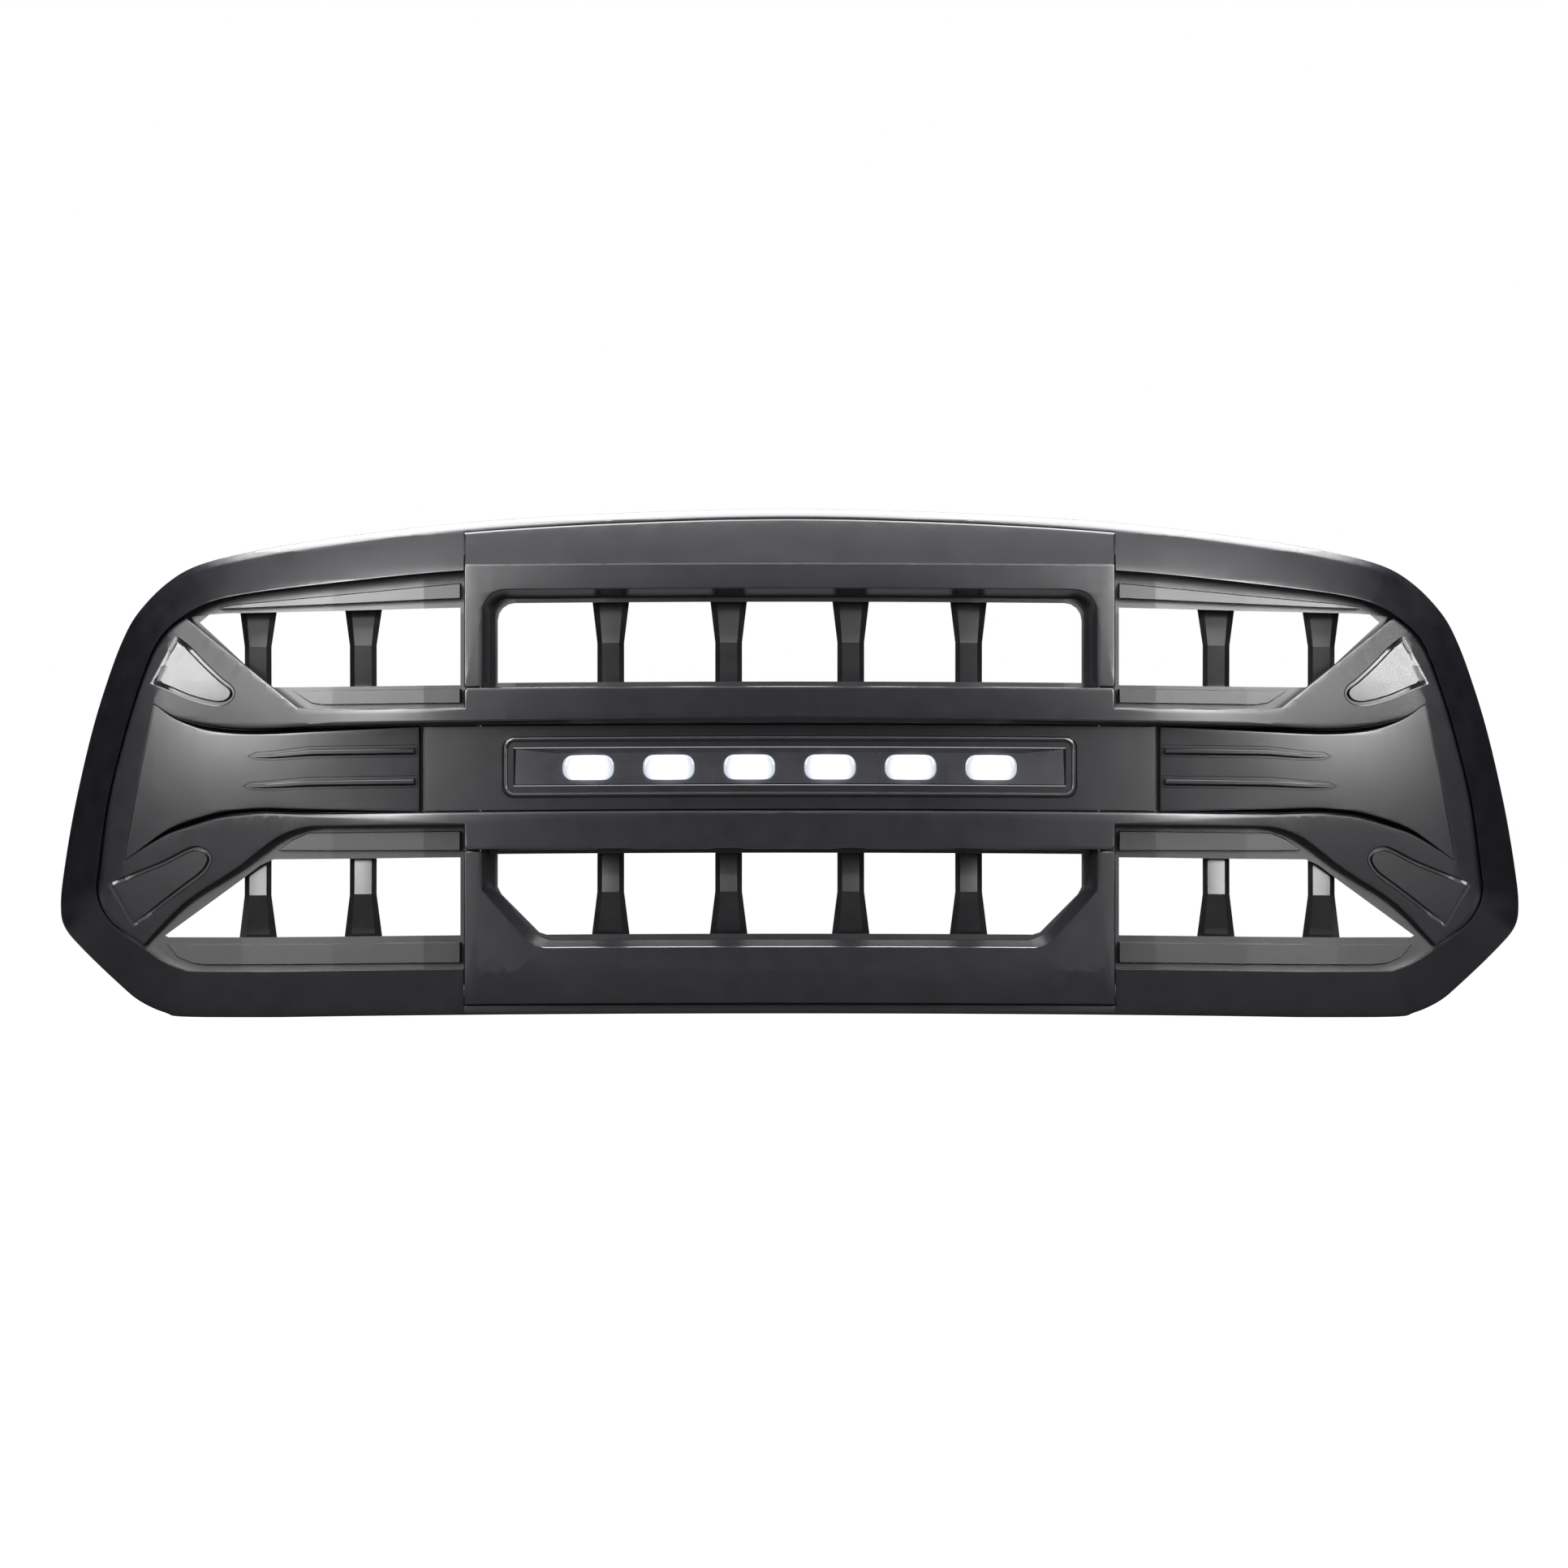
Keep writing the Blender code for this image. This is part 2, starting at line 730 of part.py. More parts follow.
def bezel_top():
    """The top edge of the upper bezel, under the surround's rim."""
    lip = surround_outlines()[1]
    edge = CENTRE_HALF * SX
    reach = edge + SIDE_GAP + 0.0001
    run = sorted(p for p in lip if abs(p[0]) < reach and p[1] > HEIGHT / 2)
    return [(min(edge, max(-edge, x)), z - SIDE_GAP) for x, z in run]


WINDOW_FRONT = 259.6  # half-width of the bezels' windows at the face
WINDOW_REAR = 253.5  # and at the rim plane
FRAME_WINDOW = 247.3  # half-width of the rear frame's windows


def upper_bezel():
    """The raised centre section above the crossbar: a beam on two pillars round the upper window."""
    foot = RAIL_TOP * SZ + SIDE_GAP
    half = CENTRE_HALF * SX
    corner = 0.0186

    def outline(window, top, radius):
        arch = rounded(window * SX, 0, top * SZ, radius, (True, False, False, True), 5)
        inside = [p for p in arch if p[1] > 0.01]
        right = inside[: len(inside) // 2]
        left = inside[len(inside) // 2 :]
        inner = [(-window * SX, foot)] + left + right + [(window * SX, foot)]
        return bezel_top() + [(half, foot)] + inner[::-1] + [(-half, foot)]

    bm = tray(outline(WINDOW_FRONT, 359.4, corner), rear=outline(WINDOW_REAR, 352.3, corner - 0.004))
    bm = bossed(bm, UPPER_BEZEL_SCREWS, 0.0015)
    return add_piece("upper_bezel", bm, "black_abs", bezel_form, [BEZEL_BREAK_TOP * SZ])


def lower_bezel():
    """The raised centre section below the crossbar, with the chamfered lower window."""
    head = RAIL_LOW * SZ - SIDE_GAP
    half = CENTRE_HALF * SX
    foot = CENTRE_BAND + SIDE_GAP

    def outline(shift):
        window = [(259.8, 111.8), (256.5, 102), (224.6, 66.3), (217, 60.1), (208, 57)]
        run = [(x - shift, z + shift) for x, z in window]
        right = [((259.8 - shift) * SX, head)] + sheet(run)
        left = [(-x, z) for x, z in reversed(right)]
        return [(-half, head)] + left[::-1] + right[::-1] + [(half, head), (half, foot), (-half, foot)]

    bm = tray(outline(0.0), rear=outline(6.1))
    bm = bossed(bm, LOWER_BEZEL_SCREWS, 0.0015)
    return add_piece("lower_bezel", bm, "black_abs", bezel_form, [BEZEL_BREAK_LOW * SZ])


def crossbar():
    """The dog-bone: two rails across the middle and four arms that widen into the wings."""
    scoops = [scoop(SCOOP_TOP), scoop(SCOOP_LOW)]
    pads = scoops + [(flipped(edge), depth) for edge, depth in scoops]
    bm = tray(crossbar_outline(), [recess_outline()], pads)
    bm = bossed(bm, CROSSBAR_SCREWS + both_sides(WING_SCREWS), 0.0015)
    return add_piece("crossbar", bm, "black_abs", crossbar_form)


FINS = [(455.8, 221.3, 224.2), (460.2, 195.9, 198.1)]  # tip, tip height, root height
FIN_HALF = 3.4


def fin(tip, tip_z, root_z):
    """A tapered ridge along the insert, from its tip to the panel end."""
    end = PANEL_HALF + 5
    return [
        (tip, tip_z),
        (tip - 14, tip_z + FIN_HALF * 0.8),
        (tip - 50, root_z + FIN_HALF),
        (end, root_z + FIN_HALF),
        (end, root_z - FIN_HALF),
        (tip - 50, root_z - FIN_HALF),
        (tip - 14, tip_z - FIN_HALF * 0.6),
    ]


def wing_inserts():
    """The panels that fill the ends of the crossbar's recess, with two fins each."""
    for name, side in (("right", 1), ("left", -1)):
        edge = [(PANEL_HALF + 4, RAIL_TOP_INNER)] + RECESS_TOP + RECESS_END + RECESS_LOW
        edge += [(PANEL_HALF + 4, RAIL_LOW_INNER)]
        outline = offset(sheet(edge), -SIDE_GAP)
        pads = [(sheet(fin(*f)), -FIN_RISE) for f in FINS]
        if side < 0:
            outline = flipped(outline)
            pads = [(flipped(p), d) for p, d in pads]
        bm = tray(outline, (), pads)
        bm = bossed(bm, one_side(INSERT_SCREWS, side), 0.0015)
        add_piece(f"{name}_wing_insert", bm, "black_abs", insert_form)


# ---------------------------------------------------------------- light bar

BAR_Z = (RAIL_TOP_INNER + RAIL_LOW_INNER) / 2 * SZ + 0.0008
BAR_HALF = BAR_LENGTH / 2
BAR_LOW, BAR_HIGH = BAR_Z - BAR_HEIGHT / 2, BAR_Z + BAR_HEIGHT / 2
LAMP_Z = BAR_Z - LAMP_DROP
LAMPS = [(i - (LAMP_COUNT - 1) / 2) * LAMP_PITCH for i in range(LAMP_COUNT)]
EAR_X = BAR_HALF + 0.009
EAR_SCREWS = [(EAR_X, BAR_Z), (-EAR_X, BAR_Z)]
NECK = 0.0025


def lamp_outline(x, grow=0.0):
    """A lamp opening: flat top and bottom with bowed ends."""
    half_w, half_h = LAMP_WIDTH / 2 + grow, LAMP_HEIGHT / 2 + grow
    box_edge = rounded(half_w, LAMP_Z - half_h, LAMP_Z + half_h, LAMP_RADIUS + grow, steps=2)
    return [(px + x, pz) for px, pz in box_edge]


def bar_outline(grow, radius=0.0):
    """The bar's edge moved out by the given amount, with square corners where radius is 0."""
    corners = (radius > 0,) * 4
    return rounded(BAR_HALF + grow, BAR_LOW - grow, BAR_HIGH + grow, radius, corners, 2)


def light_panel():
    edge = offset(
        box(-PANEL_HALF * SX, PANEL_HALF * SX, RAIL_LOW_INNER * SZ, RAIL_TOP_INNER * SZ), -SIDE_GAP
    )
    hole = bar_outline(NECK + 2 * SEAT_GAP, 0.003)
    bm = tray(edge, [hole], front=PANEL_FACE, wall=0.0025)
    places = both_sides(PANEL_SCREWS) + EAR_SCREWS
    bm = bossed(bm, places, PANEL_FACE + 0.0015)
    bm = boolean(bm, cylinders(places, PILOT_RADIUS, PANEL_FACE + 0.003, 0.03), "DIFFERENCE")
    return add_piece("light_panel", bm, "black_abs")


def light_bezel():
    """The bead round the bar: a flat ring on the panel with a neck through its opening."""
    solid = Solid()
    inner_front = solid.ring(bar_outline(SEAT_GAP), BEAD_FACE)
    outer_front = solid.ring(bar_outline(BEAD_WIDTH - 0.0012, BEAD_RADIUS), BEAD_FACE)
    outer_mid = solid.ring(bar_outline(BEAD_WIDTH, BEAD_RADIUS), BEAD_FACE + 0.0012)
    outer_back = solid.ring(bar_outline(BEAD_WIDTH, BEAD_RADIUS), PANEL_FACE - SEAT_GAP)
    neck_root = solid.ring(bar_outline(NECK, 0.003), PANEL_FACE - SEAT_GAP)
    neck_end = solid.ring(bar_outline(NECK, 0.003), BAR_SEAM)
    inner_back = solid.ring(bar_outline(SEAT_GAP), BAR_SEAM)
    solid.bridge(outer_front, outer_mid, outer_back)
    solid.bridge(neck_root, neck_end)
    solid.bridge(inner_front, inner_back)
    solid.face(outer_front, inner_front)
    solid.face(outer_back, neck_root)
    solid.face(neck_end, inner_back)
    return add_piece("light_bezel", solid.done(), "black_abs")


COVER_EDGE = 0.001
COVER_WALL = 0.005
CHAMFER_RUN = 0.036  # how far in from each end the top chamfer reaches its full width
LENS_EDGE = 0.0035  # how far the lens's flat crown is inside its edge
LENS_RISE = 0.0012
LENS_THICK = 0.0041
LENS_FRONT = BAR_FACE - LENS_RISE / 2


def light_cover():
    """The bar's face, chamfered along the top, with a window for each lamp."""
    top = BAR_CHAMFER
    half = BAR_HALF
    run, edge = BAR_HALF - CHAMFER_RUN, COVER_EDGE
    outer = [(-half, BAR_HIGH), (-run, BAR_HIGH), (run, BAR_HIGH), (half, BAR_HIGH)]
    outer += [(half, BAR_LOW), (-half, BAR_LOW)]
    face = [(-half + 2 * edge, BAR_HIGH - edge), (-run, BAR_HIGH - top)]
    face += [(run, BAR_HIGH - top), (half - 2 * edge, BAR_HIGH - edge)]
    face += [(half - edge, BAR_LOW + edge), (-half + edge, BAR_LOW + edge)]
    solid = Solid()
    front = solid.ring(face, BAR_FACE)
    shoulder = solid.ring(outer, BAR_FACE + COVER_WALL * 0.6)
    rim = solid.ring(outer, BAR_SEAM)
    inset = offset(outer, -0.002)
    rim_inner = solid.ring(inset, BAR_SEAM)
    floor = solid.ring(inset, BAR_FACE + COVER_WALL)
    solid.bridge(front, shoulder, rim)
    solid.bridge(rim_inner, floor)
    solid.face(rim, rim_inner)
    fronts, backs = [], []
    for x in LAMPS:
        edge = lamp_outline(x, SEAT_GAP)
        fronts.append(solid.ring(edge, BAR_FACE))
        backs.append(solid.ring(edge, BAR_FACE + COVER_WALL))
        solid.wall(fronts[-1], backs[-1])
    solid.face(front, *fronts)
    solid.face(floor, *backs)
    return add_piece("light_cover", solid.done(), "lamp_black")


def lenses():
    for number, x in enumerate(LAMPS, 1):
        solid = Solid()
        crown_ring = solid.ring(lamp_outline(x, -LENS_EDGE), LENS_FRONT)
        shoulder = solid.ring(lamp_outline(x), LENS_FRONT + LENS_RISE)
        back = solid.ring(lamp_outline(x), LENS_FRONT + LENS_THICK)
        solid.bridge(crown_ring, shoulder, back)
        solid.face(crown_ring)
        solid.face(back)
        add_piece(f"lens_{number}", solid.done(), "clear_lens")


CHIP_HALF = 0.0025
CUP_HOLE = 0.0042
CUP_FRONT = LENS_FRONT + LENS_THICK + SEAT_GAP
CUP_WALL = 0.001
CUP_BOW = 0.28  # how far the cup's side bows out between its two ends
CUP_BACK = BOARD_DEPTH - SEAT_GAP


def reflectors():
    """A mirrored cup behind each lens, tapering to a hole round its LED."""
    for number, x in enumerate(LAMPS, 1):
        wide = lamp_outline(x, -0.0006)
        share_x, share_z = CUP_HOLE / (LAMP_WIDTH / 2), CUP_HOLE / (LAMP_HEIGHT / 2)
        narrow = [(x + (px - x) * share_x, LAMP_Z + (pz - LAMP_Z) * share_z) for px, pz in wide]
        middle = [
            ((a + c) / 2 + (a - x) * CUP_BOW, (b + d) / 2 + (b - LAMP_Z) * CUP_BOW)
            for (a, b), (c, d) in zip(wide, narrow)
        ]
        solid = Solid()
        deep = (CUP_FRONT + CUP_BACK) / 2 + 0.002
        rings = [
            solid.ring(offset(wide, -CUP_WALL), CUP_FRONT),
            solid.ring(wide, CUP_FRONT),
            solid.ring(middle, deep),
            solid.ring(offset(narrow, CUP_WALL), CUP_BACK),
            solid.ring(narrow, CUP_BACK),
            solid.ring(offset(middle, -CUP_WALL), deep),
        ]
        solid.bridge(*rings, rings[0])
        add_piece(f"reflector_{number}", solid.done(), "chrome")


def light_internals():
    """The circuit board with its six LED chips, and the gasket round the bar."""
    inside = 0.004
    solid = Solid()
    board = rounded(BAR_HALF - inside, BAR_LOW + inside, BAR_HIGH - inside, 0.002, steps=2)
    front, back = solid.ring(board, BOARD_DEPTH), solid.ring(board, BOARD_DEPTH + BOARD_THICK)
    chips = []
    for x in LAMPS:
        edge = box(x - CHIP_HALF, x + CHIP_HALF, LAMP_Z - CHIP_HALF, LAMP_Z + CHIP_HALF)
        chips.append(solid.ring(edge, BOARD_DEPTH))
        top = solid.ring(edge, BOARD_DEPTH - 0.0014)
        solid.wall(chips[-1], top)
        solid.face(top)
    solid.wall(front, back)
    solid.face(front, *chips)
    solid.face(back)
    add_piece("led_board", solid.done(), "circuit_green")
    start = BAR_SEAM + SEAT_GAP
    outer, inner = bar_outline(0.0), bar_outline(-0.0022, 0.001)
    add_piece("light_gasket", plate(outer, [inner], start, start + GASKET_THICK), "rubber")


HOUSING_FRONT = BAR_SEAM + 2 * SEAT_GAP + GASKET_THICK
HOUSING_WALL = 0.003
INLET_HOLE = 0.006
INLET_BORE = 0.0035
INLET_FLANGE = 0.008
RIB_ROWS = (-0.009, 0.0, 0.009)
RIB_THICK = 0.0024
RIB_START = 0.014
RIB_END = BAR_HALF - 0.012


def light_housing():
    """The bar's rear tray, with an ear at each end, a cable hole and cooling ribs."""
    solid = Solid()
    flange = rounded(BAR_HALF + EAR, BAR_LOW, BAR_HIGH, 0.006, steps=3)
    flange_front = solid.ring(flange, HOUSING_FRONT)
    flange_back = solid.ring(flange, HOUSING_FRONT + HOUSING_WALL)
    pocket = bar_outline(-0.0022, 0.001)
    pocket_front = solid.ring(pocket, HOUSING_FRONT)
    pocket_floor = solid.ring(pocket, HOUSING_BACK - HOUSING_WALL)
    body = bar_outline(-0.0001, 0.003)
    body_root = solid.ring(body, HOUSING_FRONT + HOUSING_WALL)
    body_end = solid.ring(body, HOUSING_BACK)
    solid.bridge(flange_front, flange_back)
    solid.bridge(pocket_front, pocket_floor)
    solid.bridge(body_root, body_end)
    solid.face(flange_front, pocket_front)
    solid.face(flange_back, body_root)
    inlet = circle(0, BAR_Z, INLET_HOLE, 12)
    inlet_front = solid.ring(inlet, HOUSING_BACK - HOUSING_WALL)
    inlet_back = solid.ring(inlet, HOUSING_BACK)
    solid.bridge(inlet_front, inlet_back)
    solid.face(pocket_floor, inlet_front)
    ribs = []
    for row in RIB_ROWS:
        low, high = BAR_Z + row - RIB_THICK / 2, BAR_Z + row + RIB_THICK / 2
        for rib in (box(RIB_START, RIB_END, low, high), box(-RIB_END, -RIB_START, low, high)):
            base, end = solid.ring(rib, HOUSING_BACK), solid.ring(rib, HOUSING_BACK + RIB_HEIGHT)
            solid.wall(base, end)
            solid.face(end)
            ribs.append(base)
    solid.face(body_end, inlet_back, *ribs)
    bm = drilled(solid.done(), EAR_SCREWS)
    add_piece("light_housing", bm, "cast_aluminium")


def cable_inlet():
    """A rubber grommet in the housing's cable hole."""
    solid = Solid()

    def at(radius, depth):
        return solid.ring(circle(0, BAR_Z, radius, 12), depth)

    inner = HOUSING_BACK - HOUSING_WALL - SEAT_GAP
    outer = HOUSING_BACK + SEAT_GAP
    lip, sleeve = 0.0018, 0.012
    rings = [
        at(INLET_BORE, inner - lip),
        at(INLET_FLANGE, inner - lip),
        at(INLET_FLANGE, inner),
        at(INLET_HOLE - SEAT_GAP, inner),
        at(INLET_HOLE - SEAT_GAP, outer),
        at(INLET_FLANGE, outer),
        at(INLET_FLANGE, outer + lip),
        at(INLET_BORE + 0.002, outer + sleeve),
        at(INLET_BORE, outer + sleeve),
    ]
    solid.bridge(*rings, rings[0])
    add_piece("cable_inlet", solid.done(), "rubber")


# ---------------------------------------------------------------- rear structure

FRAME_FRONT = REAR_PLANE + SEAT_GAP
FRAME_BACK = FRAME_FRONT + FRAME_THICK
STRIP_FACE = 0.012  # depth of the raised strips on the side frames
CENTRE_SLATS = (-151.6, -51.7, 51.7, 151.6)
SIDE_SLATS = (361.7, 451.3)
UPPER_WINDOW = (281.0, 348.5)  # heights of the centre frame's upper window
LOWER_WINDOW = (67.5, 136.0)
SIDE_UPPER = (279.4, 345.2, 342.6)  # bottom, top at the inner end, top at the outer end
SIDE_LOWER = (67.5, 133.5)
BRACKET_X = 120.0
OUTER_BRACKET_X = 326.5
BOTTOM_BRACKET_X = 370.5
BRACKET_GAP = 0.0065  # from a slat's lower tab to a bottom bracket's leg


def slat(x, levels, name, tabs):
    """A vertical bar with a ridge down its front, and flat tabs at its ends.

    levels are (height, width, ridge depth) down the bar, and tabs are the two end heights.
    """
    tab_front = FRAME_BACK + SEAT_GAP
    tab_back = tab_front + SLAT_TAB_THICK
    top, bottom = tabs
    wide_top, wide_low = levels[0][1], levels[-1][1]
    rows = [(top, wide_top, tab_front, tab_front, tab_back)]
    rows.append((levels[0][0] + 0.0002, wide_top, tab_front, tab_front, tab_back))
    rows += [(z, width, ridge, ridge + 0.012, SLAT_BACK) for z, width, ridge in levels]
    rows.append((levels[-1][0] - 0.0002, wide_low, tab_front, tab_front, tab_back))
    rows.append((bottom, wide_low, tab_front, tab_front, tab_back))
    bm = bmesh.new()
    sections = []
    for z, width, ridge, side, back in rows:
        half = width / 2
        back_half = half * 0.8
        points = [(-back_half, back), (-half, side), (0, ridge), (half, side), (back_half, back)]
        sections.append([bm.verts.new((x + px, depth, z)) for px, depth in points])
    for a, b in zip(sections, sections[1:]):
        for i in range(5):
            j = (i + 1) % 5
            bm.faces.new((a[i], a[j], b[j], b[i]))
    bm.faces.new(sections[0])
    bm.faces.new(sections[-1])
    bmesh.ops.recalc_face_normals(bm, faces=bm.faces)
    add_piece(name, bm, "textured_abs")


def slats():
    """Four short bars in each centre window and two tall bars in each side frame."""
    upper_kink, lower_kink = 314.0 * SZ, 103.3 * SZ
    low, high = (v * SZ for v in UPPER_WINDOW)
    for number, x in enumerate(CENTRE_SLATS, 1):
        levels = [
            (high - SEAT_GAP, SLAT_WIDE, SLAT_END_FRONT),
            (upper_kink, SLAT_NARROW, SLAT_FRONT),
            (low + SEAT_GAP, SLAT_NARROW, SLAT_FRONT + 0.003),
        ]
        slat(x * SX, levels, f"upper_slat_{number}", (high + SLAT_TAB, low - SLAT_TAB))
    low, high = (v * SZ for v in LOWER_WINDOW)
    for number, x in enumerate(CENTRE_SLATS, 1):
        levels = [
            (high - SEAT_GAP, SLAT_NARROW, SLAT_FRONT + 0.003),
            (lower_kink, SLAT_NARROW, SLAT_FRONT),
            (low + SEAT_GAP, SLAT_WIDE, SLAT_END_FRONT),
        ]
        slat(x * SX, levels, f"lower_slat_{number}", (high + SLAT_TAB, low - SLAT_TAB))
    for side, side_name in ((1, "right"), (-1, "left")):
        for x, place in zip(SIDE_SLATS, ("inner", "outer")):
            high = side_window_top(x + SLAT_WIDE / SX / 2) * SZ
            low = SIDE_LOWER[0] * SZ
            middle = (SLAT_NARROW, FRAME_BACK + SEAT_GAP)
            levels = [
                (high - SEAT_GAP, SLAT_WIDE, SLAT_END_FRONT),
                (upper_kink, SLAT_NARROW, SLAT_FRONT),
                (SIDE_UPPER[0] * SZ + 0.02, SLAT_NARROW, SLAT_FRONT + 0.002),
                (SIDE_UPPER[0] * SZ + 0.019, *middle),
                (SIDE_LOWER[1] * SZ - 0.013, *middle),
                (SIDE_LOWER[1] * SZ - 0.014, SLAT_NARROW, SLAT_FRONT + 0.002),
                (lower_kink, SLAT_NARROW, SLAT_FRONT),
                (low + SEAT_GAP, SLAT_WIDE, SLAT_END_FRONT),
            ]
            name = f"{side_name}_{place}_slat"
            slat(side * x * SX, levels, name, (high + SLAT_TAB, low - SLAT_TAB))


def side_window_top(x):
    """Height of a side window's top edge on the sheet."""
    bottom, inner, outer = SIDE_UPPER
    return inner + (outer - inner) * (x - 279) / (478 - 279)


def centre_frame():
    """The rear frame behind the bezels: two windows and an opening for the light bar."""
    outline = box(
        -FRAME_SPLIT * SX + SEAT_GAP, FRAME_SPLIT * SX - SEAT_GAP, 0.0145, (SHEET_HEIGHT - 25) * SZ
    )
    low, high = UPPER_WINDOW
    upper = rounded(FRAME_WINDOW * SX, low * SZ, high * SZ, 0.0145, (True, False, False, True), 4)
    half = [(0, LOWER_WINDOW[1]), (FRAME_WINDOW, LOWER_WINDOW[1]), (FRAME_WINDOW, 108.2)]
    half += [(244.1, 102), (212.2, 69.6), (206, LOWER_WINDOW[0]), (0, LOWER_WINDOW[0])]
    light = rounded(BAR_HALF + EAR + 0.002, BAR_LOW - 0.002, BAR_HIGH + 0.002, 0.008, steps=2)
    bm = plate(outline, [upper, mirrored(sheet(half)), light], FRAME_FRONT, FRAME_BACK)
    add_piece("centre_rear_frame", bm, "textured_abs")


def side_frames(holes):
    """The rear frame at each end: two windows with slanted ends, and raised strips."""
    upper = [(279, SIDE_UPPER[1]), (478, SIDE_UPPER[2]), (493, 341.6), (501.1, 334.8)]
    upper += [(463.1, 299.7), (438, 279.4), (279, SIDE_UPPER[0])]
    lower = [(279, SIDE_LOWER[1]), (438, SIDE_LOWER[1]), (449, 128.6), (463.1, 118)]
    lower += [(530.5, 69), (528, SIDE_LOWER[0]), (279, SIDE_LOWER[0])]
    middle = [(350, 238), (514, 238), (514, 180), (350, 180)]
    strips = [
        [(278.8, 366), (470, 350.3), (484, 347.8), (484, 346), (470, 346.4), (278.8, 352.8)],
        [(278.8, 276.5), (422, 276.5), (406, 265.6), (396, 264), (278.8, 264)],
        [(278.8, 156), (408, 156), (422, 150), (434, 141), (278.8, 139)],
        [(278.8, 62), (529, 62), (520, 50.5), (508, 45.5), (497, 44), (278.8, 44)],
    ]
    lip = [p for p in flow(mirrored(SURROUND_LIP), SURROUND_STEPS) if p[0] > FRAME_SPLIT + 1]
    start = 376 + FRAME_OVERLAP / SZ - 14
    reach = offset(sheet([(FRAME_SPLIT, start)] + lip + [(FRAME_SPLIT, 39.3)]), FRAME_OVERLAP)
    inner_x = FRAME_SPLIT * SX + SEAT_GAP
    outline = [(max(x, inner_x), z) for x, z in reach]
    for side, name in ((1, "right"), (-1, "left")):
        solid = Solid()
        flip = flipped if side < 0 else list
        rings = []
        for edge in (outline, sheet(upper), sheet(lower), sheet(middle)):
            front, back = solid.ring(flip(edge), FRAME_FRONT), solid.ring(flip(edge), FRAME_BACK)
            solid.wall(front, back)
            rings.append((front, back))
        pads = []
        for strip in strips:
            base = flip(sheet(strip))
            pads.append(solid.ring(base, FRAME_FRONT))
            solid.wall(pads[-1], solid.ring(offset(base, -0.0008), STRIP_FACE))
            solid.face(solid.rings[-1][0])
        solid.face(*[front for front, back in rings], *pads)
        solid.face(*[back for front, back in rings])
        bm = drilled(solid.done(), [p for p in holes if p[0] * side > 0])
        add_piece(f"{name}_rear_frame", bm, "textured_abs")


# ---------------------------------------------------------------- fixings


def bracket(name, x, z, reach_up):
    """An angle bracket: a leg on the rear frame and a level shelf that reaches back."""
    front = FRAME_BACK + SEAT_GAP
    half = BRACKET_WIDTH / 2
    leg_end = z - reach_up * BRACKET_LEG
    shelf_in = z - reach_up * BRACKET_THICK
    profile = [
        (front, z),
        (front + BRACKET_REACH, z),
        (front + BRACKET_REACH, shelf_in),
        (front + BRACKET_THICK, shelf_in),
        (front + BRACKET_THICK, leg_end),
        (front, leg_end),
    ]
    bm = bmesh.new()
    ends = [[bm.verts.new((px, depth, pz)) for depth, pz in profile] for px in (x - half, x + half)]
    for i in range(6):
        j = (i + 1) % 6
        bm.faces.new((ends[0][i], ends[0][j], ends[1][j], ends[1][i]))
    for end in ends:
        bm.faces.new(end)
    bmesh.ops.recalc_face_normals(bm, faces=bm.faces)
    add_piece(name, bm, "coated_steel")


def side_bracket(name, x, z, side):
    """An angle bracket at the end of a side frame, with its shelf upright."""
    front = FRAME_BACK + SEAT_GAP
    half = BRACKET_WIDTH / 2
    leg_end = x - side * BRACKET_LEG
    shelf_in = x - side * BRACKET_THICK
    profile = [
        (x, front),
        (x, front + BRACKET_REACH),
        (shelf_in, front + BRACKET_REACH),
        (shelf_in, front + BRACKET_THICK),
        (leg_end, front + BRACKET_THICK),
        (leg_end, front),
    ]
    bm = bmesh.new()
    ends = [[bm.verts.new((px, depth, pz)) for px, depth in profile] for pz in (z - half, z + half)]
    for i in range(6):
        j = (i + 1) % 6
        bm.faces.new((ends[0][i], ends[0][j], ends[1][j], ends[1][i]))
    for end in ends:
        bm.faces.new(end)
    bmesh.ops.recalc_face_normals(bm, faces=bm.faces)
    add_piece(name, bm, "coated_steel")


def screws(names, places, seat, length):
    """Pan-head screws driven forwards from a seat depth."""
    for name, (x, z) in zip(names, places):
        solid = Solid()
        tip = solid.ring(circle(x, z, SCREW_RADIUS), seat - length)
        neck = solid.ring(circle(x, z, SCREW_RADIUS), seat + SEAT_GAP)
        under = solid.ring(circle(x, z, HEAD_RADIUS), seat + SEAT_GAP)
        side = solid.ring(circle(x, z, HEAD_RADIUS), seat + SEAT_GAP + HEAD_HEIGHT * 0.6)
        top = solid.ring(circle(x, z, HEAD_RADIUS * 0.7), seat + SEAT_GAP + HEAD_HEIGHT)
        solid.bridge(tip, neck, under, side, top)
        solid.face(tip)
        solid.face(top)
        add_piece(name, solid.done(), "zinc_steel")


def top_seal():
    """The rubber strip along the back edge of the top skirt, where the hood closes."""
    outer = surround_outlines()[0]
    reach = 405 * SX
    run = sorted(p for p in outer if abs(p[0]) < reach and p[1] > HEIGHT / 2)
    start = ROLL_TOP + FLANGE + SEAT_GAP
    edge = [(x, z - 0.0004) for x, z in run]
    under = [(x, z - 0.0065) for x, z in run]
    bm = plate(edge + under[::-1], [], start + 0.0012, start + 0.008)
    add_piece("top_seal", bm, "rubber")


